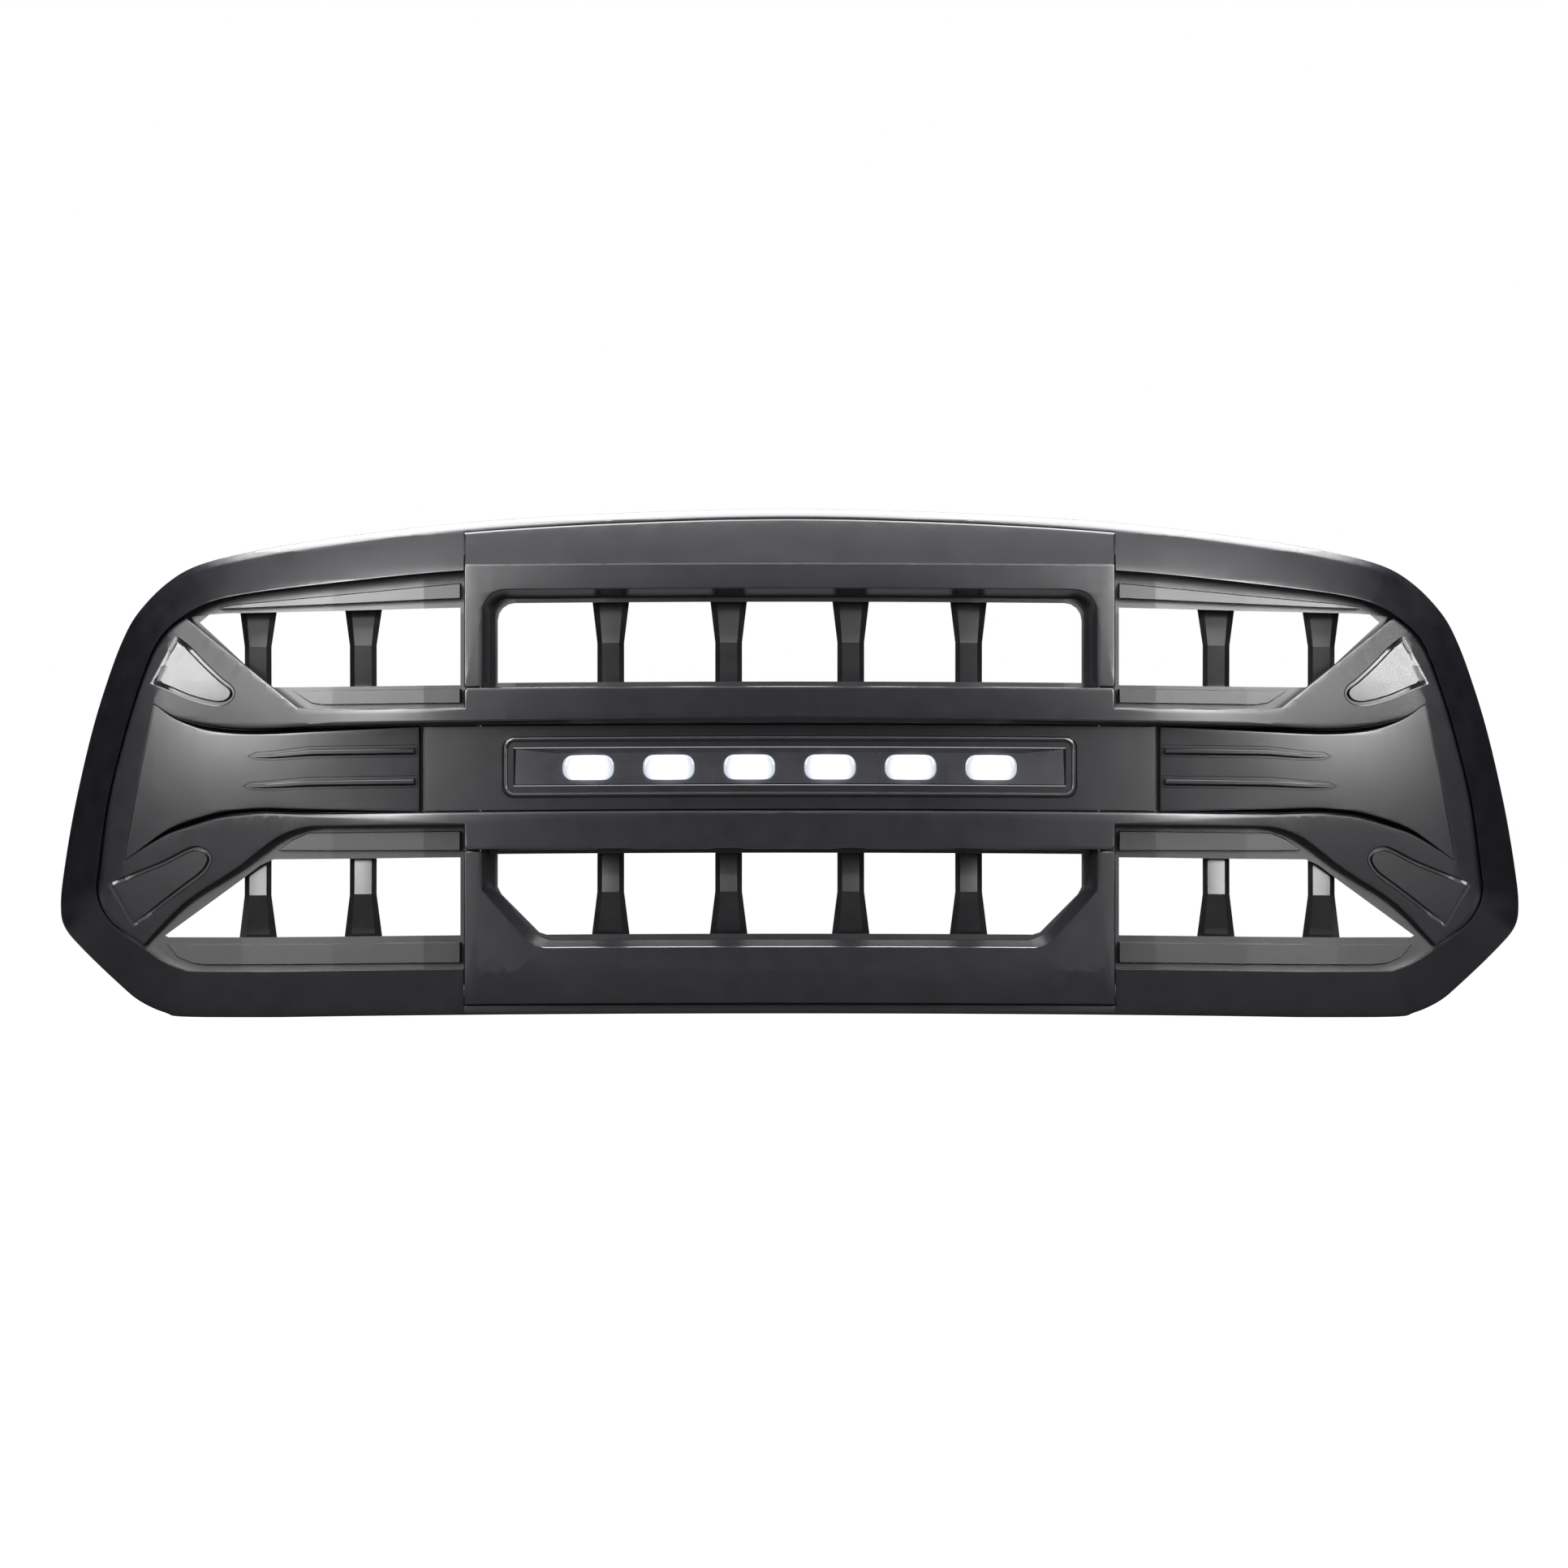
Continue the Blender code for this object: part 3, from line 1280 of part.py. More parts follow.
def build():
    surround_frame()
    upper_bezel()
    lower_bezel()
    crossbar()
    wing_inserts()
    light_panel()
    light_bezel()
    light_cover()
    lenses()
    reflectors()
    light_internals()
    light_housing()
    cable_inlet()
    slats()
    frame_top = (SHEET_HEIGHT - 25) * SZ - 0.003
    frame_foot = SIDE_LOWER[0] * SZ - SLAT_TAB - BRACKET_LEG - BRACKET_GAP
    for side, name in ((1, "right"), (-1, "left")):
        bracket(f"top_bracket_{name}", side * BRACKET_X * SX, frame_top, 1)
        bracket(f"outer_bracket_{name}", side * OUTER_BRACKET_X * SX, 376 * SZ, 1)
        bracket(f"bottom_bracket_{name}", side * BOTTOM_BRACKET_X * SX, frame_foot, -1)
        side_bracket(f"side_bracket_{name}", side * 587 * SX, 195 * SZ, side)
    centre_frame()
    side_frames(both_sides(PANEL_SCREWS))
    panel_names = [f"panel_screw_{number}" for number in range(1, 5)]
    screws(panel_names, both_sides(PANEL_SCREWS), FRAME_BACK, 0.0125)
    bar_names = ["light_bar_screw_right", "light_bar_screw_left"]
    screws(bar_names, EAR_SCREWS, HOUSING_FRONT + HOUSING_WALL, 0.0075)
    top_seal()


def centre_on_origin():
    """Moves the whole grille so that the middle of its foot is at the origin."""
    bpy.context.view_layer.update()
    depths, heights = [], []
    for piece in bpy.context.scene.objects:
        if piece.type == "MESH":
            depths += [v.co.y for v in piece.data.vertices]
            heights += [v.co.z for v in piece.data.vertices]
    ORIGIN.location = (0, -(min(depths) + max(depths)) / 2, -min(heights))
    bpy.context.view_layer.update()


bpy.context.scene.collection.objects.link(ORIGIN)
build()
centre_on_origin()
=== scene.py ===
"""Looks of the pickup front grille: fine mouldings, lit lamps, fixings and finishes.

Every new piece is drawn flat, as the part's own solids are: x runs across, z runs up and depth
runs back from the face. The finished flat piece is then bent to the sweep, lean and crown of the
vehicle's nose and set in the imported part's frame.
"""

import json
import math

import bmesh
import bpy
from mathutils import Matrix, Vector

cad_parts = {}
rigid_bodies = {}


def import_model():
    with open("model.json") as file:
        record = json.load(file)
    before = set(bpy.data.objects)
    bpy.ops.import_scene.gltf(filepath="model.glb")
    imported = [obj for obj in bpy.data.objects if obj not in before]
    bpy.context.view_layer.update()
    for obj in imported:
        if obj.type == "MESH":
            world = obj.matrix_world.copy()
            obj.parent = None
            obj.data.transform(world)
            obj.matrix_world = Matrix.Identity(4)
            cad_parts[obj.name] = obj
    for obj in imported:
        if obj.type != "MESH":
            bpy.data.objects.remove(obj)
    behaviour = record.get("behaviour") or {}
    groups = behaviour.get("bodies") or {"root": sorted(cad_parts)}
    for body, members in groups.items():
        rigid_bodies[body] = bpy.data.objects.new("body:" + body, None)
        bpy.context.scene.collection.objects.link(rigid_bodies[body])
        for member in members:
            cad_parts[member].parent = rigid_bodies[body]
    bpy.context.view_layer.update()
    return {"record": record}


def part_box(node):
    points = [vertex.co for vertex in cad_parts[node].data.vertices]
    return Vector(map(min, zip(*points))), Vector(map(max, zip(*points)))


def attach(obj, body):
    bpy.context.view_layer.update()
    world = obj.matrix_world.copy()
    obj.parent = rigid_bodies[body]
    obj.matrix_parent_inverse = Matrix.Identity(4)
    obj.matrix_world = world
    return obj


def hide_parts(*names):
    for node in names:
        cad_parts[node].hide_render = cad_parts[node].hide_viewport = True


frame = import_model()

# Overall sizes, in metres.
WIDTH = 1.240
HEIGHT = 0.4306
SWEEP = 0.095
LEAN = 0.020
LEAN_FROM = 0.250
CROWN = 0.0035
CROWN_HALF = 0.430

# Walls, gaps and seating planes.
WALL = 0.003
SEAT_GAP = 0.0003
SIDE_GAP = 0.0006
REAR_PLANE = 0.020
FLANGE = 0.045
FRAME_THICK = 0.008
FRAME_FRONT = REAR_PLANE + SEAT_GAP
FRAME_BACK = FRAME_FRONT + FRAME_THICK
EDGE = 0.0013  # radius of a moulding's front edges
EDGE_TURNS = (0, 30, 60, 90)  # degrees round a rounded edge

# Face depths.
RAIL_FACE = -0.008
WING_FACE = 0.004
BEZEL_FACE = -0.003
PANEL_FACE = 0.012
INSERT_SINK = 0.008
SINK_CURVE = 1.7
WING_FROM, WING_RUN = 0.280, 0.260  # the rails sink into the wings over this run
FALL_SLOPE = 0.10  # of a wing outside its crease
FALL_FROM, FALL_RUN = 0.06, 0.06  # heights over which that slope sets in
BARREL = 0.008  # how far a wing curves back at BARREL_REACH above or below BARREL_Z
BARREL_Z = 0.215
BARREL_REACH = 0.150
BARREL_FROM, BARREL_RUN = 0.330, 0.120
SCOOP_SINK = 0.007
GROOVE = 0.0060  # depth of the dark line round a scoop
FIN_RISE = 0.005
RECESS_GAP = 0.0034  # the shadow line between the rails and an insert
GAP_FROM = 0.32  # half-width inside which an insert has no such gap
SEAM = 0.0001  # the bezels close up to the surround along their level edges
BEZEL_FOOT = 0.005
ROLL_TOP = 0.014
ROLL_SIDE = 0.024
ROLL_BOTTOM = 0.008
CREASE_TOP = 0.008
CREASE_BOTTOM = 0.007
RIM_TOP = 0.0055
RIM_SIDE = 0.0016
CENTRE_BAND = 0.0085

# Light bar.
BAR_LENGTH = 0.467
BAR_HEIGHT = 0.0317
BAR_FACE = 0.0095
BAR_CHAMFER = 0.0045
BAR_SEAM = 0.0177
BAR_NECK = 0.0025
BEAD_WIDTH = 0.0100
BEAD_RADIUS = 0.009
BEAD_FACE = 0.0085
BEAD_ROLL = 0.0022
BEAD_SHELF = 0.0026  # depth of the shelf inside the bead's narrow flat
NECK_RADIUS = 0.003
COVER_EDGE = 0.001
COVER_WALL = 0.005
CHAMFER_RUN = 0.036
LAMP_COUNT = 6
LAMP_PITCH = 0.0682
LAMP_WIDTH = 0.0436
LAMP_HEIGHT = 0.0210
LAMP_RADIUS = 0.0088
LAMP_DROP = 0.0009
CROWN_FALL = 0.0012  # the crown's mean fall across the lamps

# Half-widths and heights of the style sheet, in millimetres.
SHEET = 0.001
CENTRE_HALF = 275.6
RAIL_TOP, RAIL_TOP_INNER = 277.0, 245.0
RAIL_LOW_INNER, RAIL_LOW = 172.5, 139.5
PANEL_HALF = 310.0
BEZEL_BREAK_TOP = 381.0
BEZEL_BREAK_LOW = 37.0
BEZEL_TOP_RUN = 40.0
CREASE_X, CREASE_Z, CREASE_SLANT = 539, 265, 0.21  # the line down a wing

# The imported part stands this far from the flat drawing's own zero.
SHIFT_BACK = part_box("crossbar")[0][1] - RAIL_FACE
SHIFT_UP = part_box("side_bracket_right")[0][2] - 0.180

BAR_Z = (RAIL_TOP_INNER + RAIL_LOW_INNER) / 2 * SHEET + 0.0008
BAR_HALF = BAR_LENGTH / 2
BAR_LOW, BAR_HIGH = BAR_Z - BAR_HEIGHT / 2, BAR_Z + BAR_HEIGHT / 2
LAMP_Z = BAR_Z - LAMP_DROP
LAMPS = [(i - (LAMP_COUNT - 1) / 2) * LAMP_PITCH for i in range(LAMP_COUNT)]


# ---- bend


def sheet(points):
    return [(x * SHEET, z * SHEET) for x, z in points]


def sweep(x):
    return SWEEP * (2 * x / WIDTH) ** 2


def lean(z):
    return LEAN * (max(0.0, z - LEAN_FROM) / (HEIGHT - LEAN_FROM)) ** 2


def crown(x):
    return CROWN * max(0.0, 1 - (x / CROWN_HALF) ** 2)


def ease(share):
    share = min(1.0, max(0.0, share))
    return share * share * (3 - 2 * share)


def to_rim(depth):
    return min(1.0, max(0.0, 1 - depth / REAR_PLANE))


def barrel(x, z):
    """The wings curve back above and below their middle."""
    return BARREL * ease((abs(x) - BARREL_FROM) / BARREL_RUN) * ((z - BARREL_Z) / BARREL_REACH) ** 2


def crossbar_form(x, depth, z):
    """Proud rails in the middle run into sunk wings, which fall away outside their crease."""
    face = RAIL_FACE + (WING_FACE - RAIL_FACE) * ease((abs(x) - WING_FROM) / WING_RUN)
    face += FALL_SLOPE * max(0.0, abs(x) - crease_x(z)) * ease((z - FALL_FROM) / FALL_RUN)
    return (face + barrel(x, z)) * to_rim(depth)


def crease_x(z):
    return (CREASE_X + CREASE_SLANT * (CREASE_Z - z / SHEET)) * SHEET


def insert_form(x, depth, z):
    """A wing insert is flush at its crease and sinks towards the middle."""
    share = (crease_x(z) - abs(x)) / (crease_x(z) - PANEL_HALF * SHEET)
    sink = INSERT_SINK * min(1.0, max(0.0, share)) ** SINK_CURVE
    return (WING_FACE + sink + barrel(x, z)) * to_rim(depth)


def bezel_form(x, depth, z):
    """The bezels lean back above one level crease and below another."""
    face = BEZEL_FACE
    face += (CREASE_TOP - BEZEL_FACE) * max(0.0, z / SHEET - BEZEL_BREAK_TOP) / BEZEL_TOP_RUN
    face += BEZEL_FOOT * max(0.0, 1 - z / SHEET / BEZEL_BREAK_LOW)
    return face * to_rim(depth)


# ---- outlines


def mirrored(half):
    left = [(-x, z) for x, z in reversed(half) if x > 1e-9]
    return list(half) + left


def curve_point(points, i, t):
    p0, p1, p2, p3 = (points[(i + k) % len(points)] for k in (-1, 0, 1, 2))
    return tuple(
        0.5
        * (
            2 * b
            + (c - a) * t
            + (2 * a - 5 * b + 4 * c - d) * t * t
            + (3 * b - a - 3 * c + d) * t**3
        )
        for a, b, c, d in zip(p0, p1, p2, p3)
    )


def flow(points, steps):
    """A closed smooth curve through the points."""
    return [curve_point(points, i, s / steps) for i in range(len(points)) for s in range(steps)]


def open_flow(points, steps):
    """A smooth curve through the points from the first to the last."""
    first = tuple(2 * a - b for a, b in zip(points[0], points[1]))
    last = tuple(2 * a - b for a, b in zip(points[-1], points[-2]))
    run = [first, *points, last]
    out = [curve_point(run, i, s / steps) for i in range(1, len(points)) for s in range(steps)]
    return out + [points[-1]]


def area(outline):
    pairs = zip(outline, outline[1:] + outline[:1])
    return sum(x0 * z1 - x1 * z0 for (x0, z0), (x1, z1) in pairs) / 2


def offset(outline, distance):
    """The outline moved outwards by a distance, or by a function of x and z."""
    side = 1 if area(outline) > 0 else -1
    count = len(outline)
    out = []
    for i, (x, z) in enumerate(outline):
        normals = []
        for (x0, z0), (x1, z1) in (
            (outline[i - 1], outline[i]),
            (outline[i], outline[(i + 1) % count]),
        ):
            length = math.hypot(x1 - x0, z1 - z0)
            normals.append(((z1 - z0) / length * side, (x0 - x1) / length * side))
        (ax, az), (bx, bz) = normals
        reach = distance(x, z) if callable(distance) else distance
        mitre = reach / max(0.4, 1 + ax * bx + az * bz)
        out.append((x + (ax + bx) * mitre, z + (az + bz) * mitre))
    return out


def rounded(half_x, low, high, radius, corners=(True, True, True, True), steps=8):
    """A box outline about x = 0, corners from the top right, clockwise."""
    out = []
    spots = (
        (half_x, high, 90),
        (half_x, low, 0),
        (-half_x, low, -90),
        (-half_x, high, -180),
    )
    for (x, z, start), is_round in zip(spots, corners):
        if not is_round:
            out.append((x, z))
            continue
        cx = x - math.copysign(radius, x)
        cz = z - radius if z == high else z + radius
        for step in range(steps + 1):
            angle = math.radians(start - 90 * step / steps)
            out.append((cx + radius * math.cos(angle), cz + radius * math.sin(angle)))
    return out


def box(x0, x1, z0, z1):
    return [(x0, z1), (x1, z1), (x1, z0), (x0, z0)]


def flipped(outline):
    return [(-x, z) for x, z in reversed(outline)]


# ---- mouldings


def as_function(value):
    return value if callable(value) else lambda x, z: value


class Moulding:
    """A closed body whose walls join outlines set at chosen depths."""

    def __init__(self):
        self.bm = bmesh.new()

    def ring(self, outline, depth):
        """A closed loop of edges at one depth, at a list of depths or at a function's depths."""
        verts = []
        for i, (x, z) in enumerate(outline):
            if callable(depth):
                y = depth(x, z)
            elif isinstance(depth, list):
                y = depth[i]
            else:
                y = depth
            verts.append(self.bm.verts.new((x, y, z)))
        return [self.bm.edges.new(pair) for pair in zip(verts, verts[1:] + verts[:1])]

    def wall(self, *rings):
        """Extrudes each ring onto the next; the touching points are merged at the end."""
        for near, far in zip(rings, rings[1:]):
            made = bmesh.ops.extrude_edge_only(self.bm, edges=near)["geom"]
            fresh = {vert.co[:]: vert for vert in made if isinstance(vert, bmesh.types.BMVert)}
            pairs = [(fresh[a.verts[0].co[:]], b.verts[0].co) for a, b in zip(near, far)]
            for vert, place in pairs:
                vert.co = place

    def fill(self, *rings):
        """Fills inside the first ring and outside the others."""
        edges = [edge for ring in rings for edge in ring]
        verts = {vert for edge in edges for vert in edge.verts}
        depths = [(vert, vert.co.y) for vert in verts]
        for vert in verts:
            vert.co.y = 0
        bmesh.ops.triangle_fill(
            self.bm, use_beauty=True, use_dissolve=False, edges=edges, normal=(0, -1, 0)
        )
        for vert, depth in depths:
            vert.co.y = depth

    def edge(self, outline, side, front, radius):
        """A rounded front edge: rings from the wall to the face. side is -1 round the outside."""
        radius, front = as_function(radius), as_function(front)
        rings = []
        for turn in EDGE_TURNS:
            reach, rise = 1 - math.cos(math.radians(turn)), 1 - math.sin(math.radians(turn))
            line = offset(outline, lambda x, z: side * reach * radius(x, z))
            rings.append(self.ring(line, lambda x, z: front(x, z) + rise * radius(x, z)))
        self.wall(*rings)
        return rings[0], rings[-1]


HOLE_ROUND = 0.0006
HOLE_LAND = 0.0012  # between a hole's wall and its chamfer
CREASE_ROUND = 0.0007


def chamfered_rim(made, rim, front, chamfer, drop):
    """The front of a chamfered hole: its first ring, on the wall, and its last, in the face."""
    low, mid = made.edge(rim, 1, drop, HOLE_ROUND)
    top = offset(rim, lambda x, z: HOLE_LAND + chamfer(x, z))
    crease = made.ring(offset(top, -CREASE_ROUND), lambda x, z: 0.1 * drop(x, z))
    crest = made.ring(offset(top, CREASE_ROUND), front)
    made.wall(mid, crease, crest)
    return low, crest


def pocket(made, line, depth, groove, front, wall):
    """Sinks an area inside a groove; returns its rings in the face and in the floor."""

    def bed(x, z):
        return depth(x, z) + groove(x, z)

    profile = (
        (0.0007, front),
        (0.0001, lambda x, z: min(0.0006, depth(x, z))),
        (-0.0004, bed),
        (-0.0028, bed),
        (-0.0032, lambda x, z: depth(x, z) + 0.2 * groove(x, z)),
        (-0.0039, depth),
    )
    rings = [made.ring(offset(line, shift), level) for shift, level in profile]
    made.wall(*rings)
    made.fill(rings[-1])
    under = offset(line, wall * 0.6)
    inner_base = made.ring(under, front + wall)
    inner_bed = made.ring(under, lambda x, z: bed(x, z) + wall * 0.8)
    made.wall(inner_base, inner_bed)
    made.fill(inner_bed)
    return rings[0], inner_base


def ridge(made, line, top, front):
    """Raises a ridge out of a ditch, sharper towards its tip; returns its ring in the face."""
    tip = max(abs(x) for x, z in line)
    ditch = front + 0.0023

    def inset(reach):
        return lambda x, z: -0.0002 - reach * min(1.0, max(0.0, (tip - abs(x)) / 0.030))

    profile = (
        (0.0018, front),
        (0.0014, ditch),
        (0.0, ditch),
        (inset(0.0009), top * 0.55),
        (inset(0.0014), top * 0.93),
        (inset(0.0020), top),
    )
    rings = [made.ring(offset(line, shift), level) for shift, level in profile]
    made.wall(*rings)
    made.fill(rings[-1])
    return rings[0]


def tray(outline, holes=(), pads=(), front=0.0, wall=WALL, rear=None, round_by=EDGE):
    """A moulding with a face, a rim round every edge and an open back.

    A hole is an outline, or (outline, chamfer, drop, draft) for one with a chamfer and a drafted
    wall, whose sizes are functions of x and z. A pad is (outline, top) where the face stands
    proud, or (outline, (depth, groove)) where it sinks.
    """
    made = Moulding()
    face, floors = [], []
    for line, rear_line, side in [(outline, rear, -1)] + [(hole, None, 1) for hole in holes]:
        if isinstance(line, tuple):
            line, chamfer, drop, draft = line
            rim = offset(line, draft)
            low, crest = chamfered_rim(made, rim, front, chamfer, drop)
        else:
            rim = line
            low, crest = made.edge(line, side, front, round_by)
        rear_line = rear_line or line
        end = made.ring(rear_line, REAR_PLANE)
        made.wall(end, low)
        face.append(crest)
        inner = made.ring(offset(rear_line, side * wall), REAR_PLANE)
        floor = made.ring(offset(rim, side * wall), front + wall)
        made.wall(end, inner, floor)
        floors.append(floor)
    for line, level in pads:
        if isinstance(level, tuple):
            base, inner_base = pocket(made, line, *level, front, wall)
            floors.append(inner_base)
        else:
            base = ridge(made, line, level, front)
        face.append(base)
    made.fill(*face)
    made.fill(*floors)
    return made.bm


def cut_line(bm, place, normal):
    geometry = bm.verts[:] + bm.edges[:] + bm.faces[:]
    bmesh.ops.bisect_plane(bm, geom=geometry, plane_co=place, plane_no=normal, dist=1e-6)


def bend(bm, form, columns, rows):
    """Cuts the flat body into fine bands and moves its points to the bent place."""
    reach = max(abs(vert.co.x) for vert in bm.verts)
    for i in range(-int(reach / columns), int(reach / columns) + 1):
        cut_line(bm, (i * columns, 0, 0), (1, 0, 0))
    for height in rows:
        cut_line(bm, (0, 0, height), (0, 0, 1))
    bmesh.ops.triangulate(bm, faces=[f for f in bm.faces if len(f.verts) > 4])
    for vert in bm.verts:
        x, depth, z = vert.co
        if form:
            depth += form(x, depth, z)
        y = depth + sweep(x) + lean(z) + SHIFT_BACK
        vert.co = (x, y, z + crown(x) + SHIFT_UP)


def levels(low, high, step):
    count = max(1, round((high - low) / step))
    return [low + (high - low) * i / count for i in range(count + 1)]


LEAN_ROWS = levels(LEAN_FROM, HEIGHT, 0.012)
TOUCHING = 2e-6


def add_piece(name, bm, finish, nodes=(), form=None, rows=(), columns=0.012, smooth=28):
    """Bends the body, adds it to the scene and hides the imported nodes that it stands in for."""
    bmesh.ops.remove_doubles(bm, verts=bm.verts, dist=TOUCHING)
    heights = [vert.co.z for vert in bm.verts]
    rows = [z for z in [*rows, *LEAN_ROWS] if min(heights) < z < max(heights)]
    bend(bm, form, columns, rows)
    bmesh.ops.remove_doubles(bm, verts=bm.verts, dist=TOUCHING)
    bmesh.ops.dissolve_degenerate(bm, edges=bm.edges, dist=1e-7)
    bmesh.ops.recalc_face_normals(bm, faces=bm.faces)
    mesh = bpy.data.meshes.new(name)
    bm.to_mesh(mesh)
    bm.free()
    mesh.shade_smooth()
    mesh.set_sharp_from_angle(angle=math.radians(smooth))
    mesh.materials.append(finish)
    piece = bpy.data.objects.new(name, mesh)
    bpy.context.scene.collection.objects.link(piece)
    even = piece.modifiers.new("even_shading", "WEIGHTED_NORMAL")
    even.keep_sharp = True
    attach(piece, "root")
    if nodes:
        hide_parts(*nodes)
    return piece


# ---- finishes


def new_finish(name, slot, colour, roughness, metallic=0.0):
    made = bpy.data.materials.new(name)
    made.use_nodes = True
    made["slot"] = slot
    shader = made.node_tree.nodes["Principled BSDF"]
    shader.inputs["Base Color"].default_value = (*colour, 1)
    shader.inputs["Roughness"].default_value = roughness
    shader.inputs["Metallic"].default_value = metallic
    place = made.node_tree.nodes.new("ShaderNodeTexCoord")
    place.name = "place"
    return made


def noise(made, scale, detail=2.0, stretch=(1, 1, 1)):
    """A noise pattern on the piece's own place; returns its value socket."""
    tree = made.node_tree
    turn = tree.nodes.new("ShaderNodeMapping")
    turn.inputs["Scale"].default_value = stretch
    node = tree.nodes.new("ShaderNodeTexNoise")
    node.inputs["Scale"].default_value = scale
    node.inputs["Detail"].default_value = detail
    tree.links.new(tree.nodes["place"].outputs["Object"], turn.inputs["Vector"])
    tree.links.new(turn.outputs["Vector"], node.inputs["Vector"])
    return node.outputs["Fac"]


def cells(made, scale):
    """A pattern of rounded cells; returns its distance socket."""
    tree = made.node_tree
    node = tree.nodes.new("ShaderNodeTexVoronoi")
    node.inputs["Scale"].default_value = scale
    tree.links.new(tree.nodes["place"].outputs["Object"], node.inputs["Vector"])
    return node.outputs["Distance"]


def spread(made, value, low, high, start=0.3, end=0.7):
    """The value stretched from start..end to low..high."""
    node = made.node_tree.nodes.new("ShaderNodeMapRange")
    node.inputs["From Min"].default_value = start
    node.inputs["From Max"].default_value = end
    node.inputs["To Min"].default_value = low
    node.inputs["To Max"].default_value = high
    made.node_tree.links.new(value, node.inputs["Value"])
    return node.outputs["Result"]


def vary_roughness(made, value, low, high):
    shader = made.node_tree.nodes["Principled BSDF"]
    made.node_tree.links.new(spread(made, value, low, high), shader.inputs["Roughness"])


def vary_colour(made, value, first, second, start=0.3, end=0.7, target="Base Color"):
    tree = made.node_tree
    mix = tree.nodes.new("ShaderNodeMix")
    mix.data_type = "RGBA"
    tree.links.new(spread(made, value, 0, 1, start, end), mix.inputs["Factor"])
    mix.inputs["A"].default_value = (*first, 1)
    mix.inputs["B"].default_value = (*second, 1)
    tree.links.new(mix.outputs["Result"], tree.nodes["Principled BSDF"].inputs[target])


def relief(made, value, strength, depth):
    """Raises the surface by the value; a second call adds to the first."""
    tree = made.node_tree
    shader = tree.nodes["Principled BSDF"]
    node = tree.nodes.new("ShaderNodeBump")
    node.inputs["Strength"].default_value = strength
    node.inputs["Distance"].default_value = depth
    if shader.inputs["Normal"].is_linked:
        tree.links.new(shader.inputs["Normal"].links[0].from_socket, node.inputs["Normal"])
    tree.links.new(value, node.inputs["Height"])
    tree.links.new(node.outputs["Normal"], shader.inputs["Normal"])


def skin(made, rough, tones, bumps):
    """Uneven roughness, colour and surface; each starts with its noise's scale and detail."""
    vary_roughness(made, noise(made, *rough[:2]), *rough[2:])
    vary_colour(made, noise(made, *tones[:2]), *tones[2:])
    relief(made, noise(made, *bumps[:2]), *bumps[2:])
    return made


def satin_black():
    """Moulded black plastic with a satin skin: a very fine grain, faint flow marks and dust."""
    made = new_finish("satin_black", "black_abs", (0.005, 0.005, 0.006), 0.27)
    tones = (60.0, 6.0, (0.004, 0.004, 0.005), (0.007, 0.007, 0.009))
    return skin(made, (40.0, 3.0, 0.245, 0.262), tones, (2600.0, 1.0, 0.015, 0.00004))


def grained_black():
    """Unpainted black plastic with a fine spark grain, for the slats and the rear frames."""
    made = new_finish("grained_black", "textured_abs", (0.005, 0.005, 0.006), 0.4)
    vary_roughness(made, noise(made, 14.0, 4.0), 0.30, 0.35)
    vary_colour(made, noise(made, 60.0, 5.0), (0.004, 0.004, 0.005), (0.008, 0.008, 0.009))
    relief(made, cells(made, 1500.0), 0.06, 0.00006)
    return made


def lamp_black():
    """The bar's black face, with a glow painted into its emission round each lit lamp."""
    made = new_finish("lamp_black", "lamp_black", (0.014, 0.014, 0.017), 0.28)
    tones = (80.0, 4.0, (0.012, 0.012, 0.015), (0.017, 0.017, 0.021))
    skin(made, (18.0, 4.0, 0.24, 0.32), tones, (3000.0, 1.0, 0.02, 0.00003))
    # painted glow: the black face itself emits light round each lamp, fading away from the lens,
    # only across the lamps' span
    painted_glow = spread(made, lamp_distance(made, 1.5), 0.30, 0.0, 0.012, 0.026)
    shader = made.node_tree.nodes["Principled BSDF"]
    shader.inputs["Emission Color"].default_value = (0.85, 0.88, 1.0, 1)
    past = sums(made, "ABSOLUTE", position(made)["X"])
    among = sums(made, "LESS_THAN", past, LAMP_PITCH * LAMP_COUNT / 2)
    painted_glow = sums(made, "MULTIPLY", sums(made, "POWER", painted_glow, 1.6), among)
    made.node_tree.links.new(painted_glow, shader.inputs["Emission Strength"])
    return made


def sums(made, operation, first, second=None):
    """One step of sums on sockets or plain numbers."""
    node = made.node_tree.nodes.new("ShaderNodeMath")
    node.operation = operation
    for slot, value in zip(node.inputs, (first, second)):
        if isinstance(value, (int, float)):
            slot.default_value = value
        elif value is not None:
            made.node_tree.links.new(value, slot)
    return node.outputs["Value"]


def position(made):
    """The sockets of a point's own X, Y and Z."""
    tree = made.node_tree
    split = tree.nodes.new("ShaderNodeSeparateXYZ")
    tree.links.new(tree.nodes["place"].outputs["Object"], split.inputs["Vector"])
    return split.outputs


def lamp_distance(made, squash):
    """The distance to the nearest lamp's middle, with heights scaled up by squash."""
    place = position(made)
    share = sums(made, "FRACT", sums(made, "DIVIDE", place["X"], LAMP_PITCH))
    across = sums(made, "MULTIPLY", sums(made, "SUBTRACT", share, 0.5), LAMP_PITCH)
    lamp_height = LAMP_Z + CROWN + SHIFT_UP - CROWN_FALL
    up = sums(made, "MULTIPLY", sums(made, "SUBTRACT", place["Z"], lamp_height), squash)
    both = sums(made, "ADD", sums(made, "POWER", across, 2.0), sums(made, "POWER", up, 2.0))
    return sums(made, "SQRT", both)


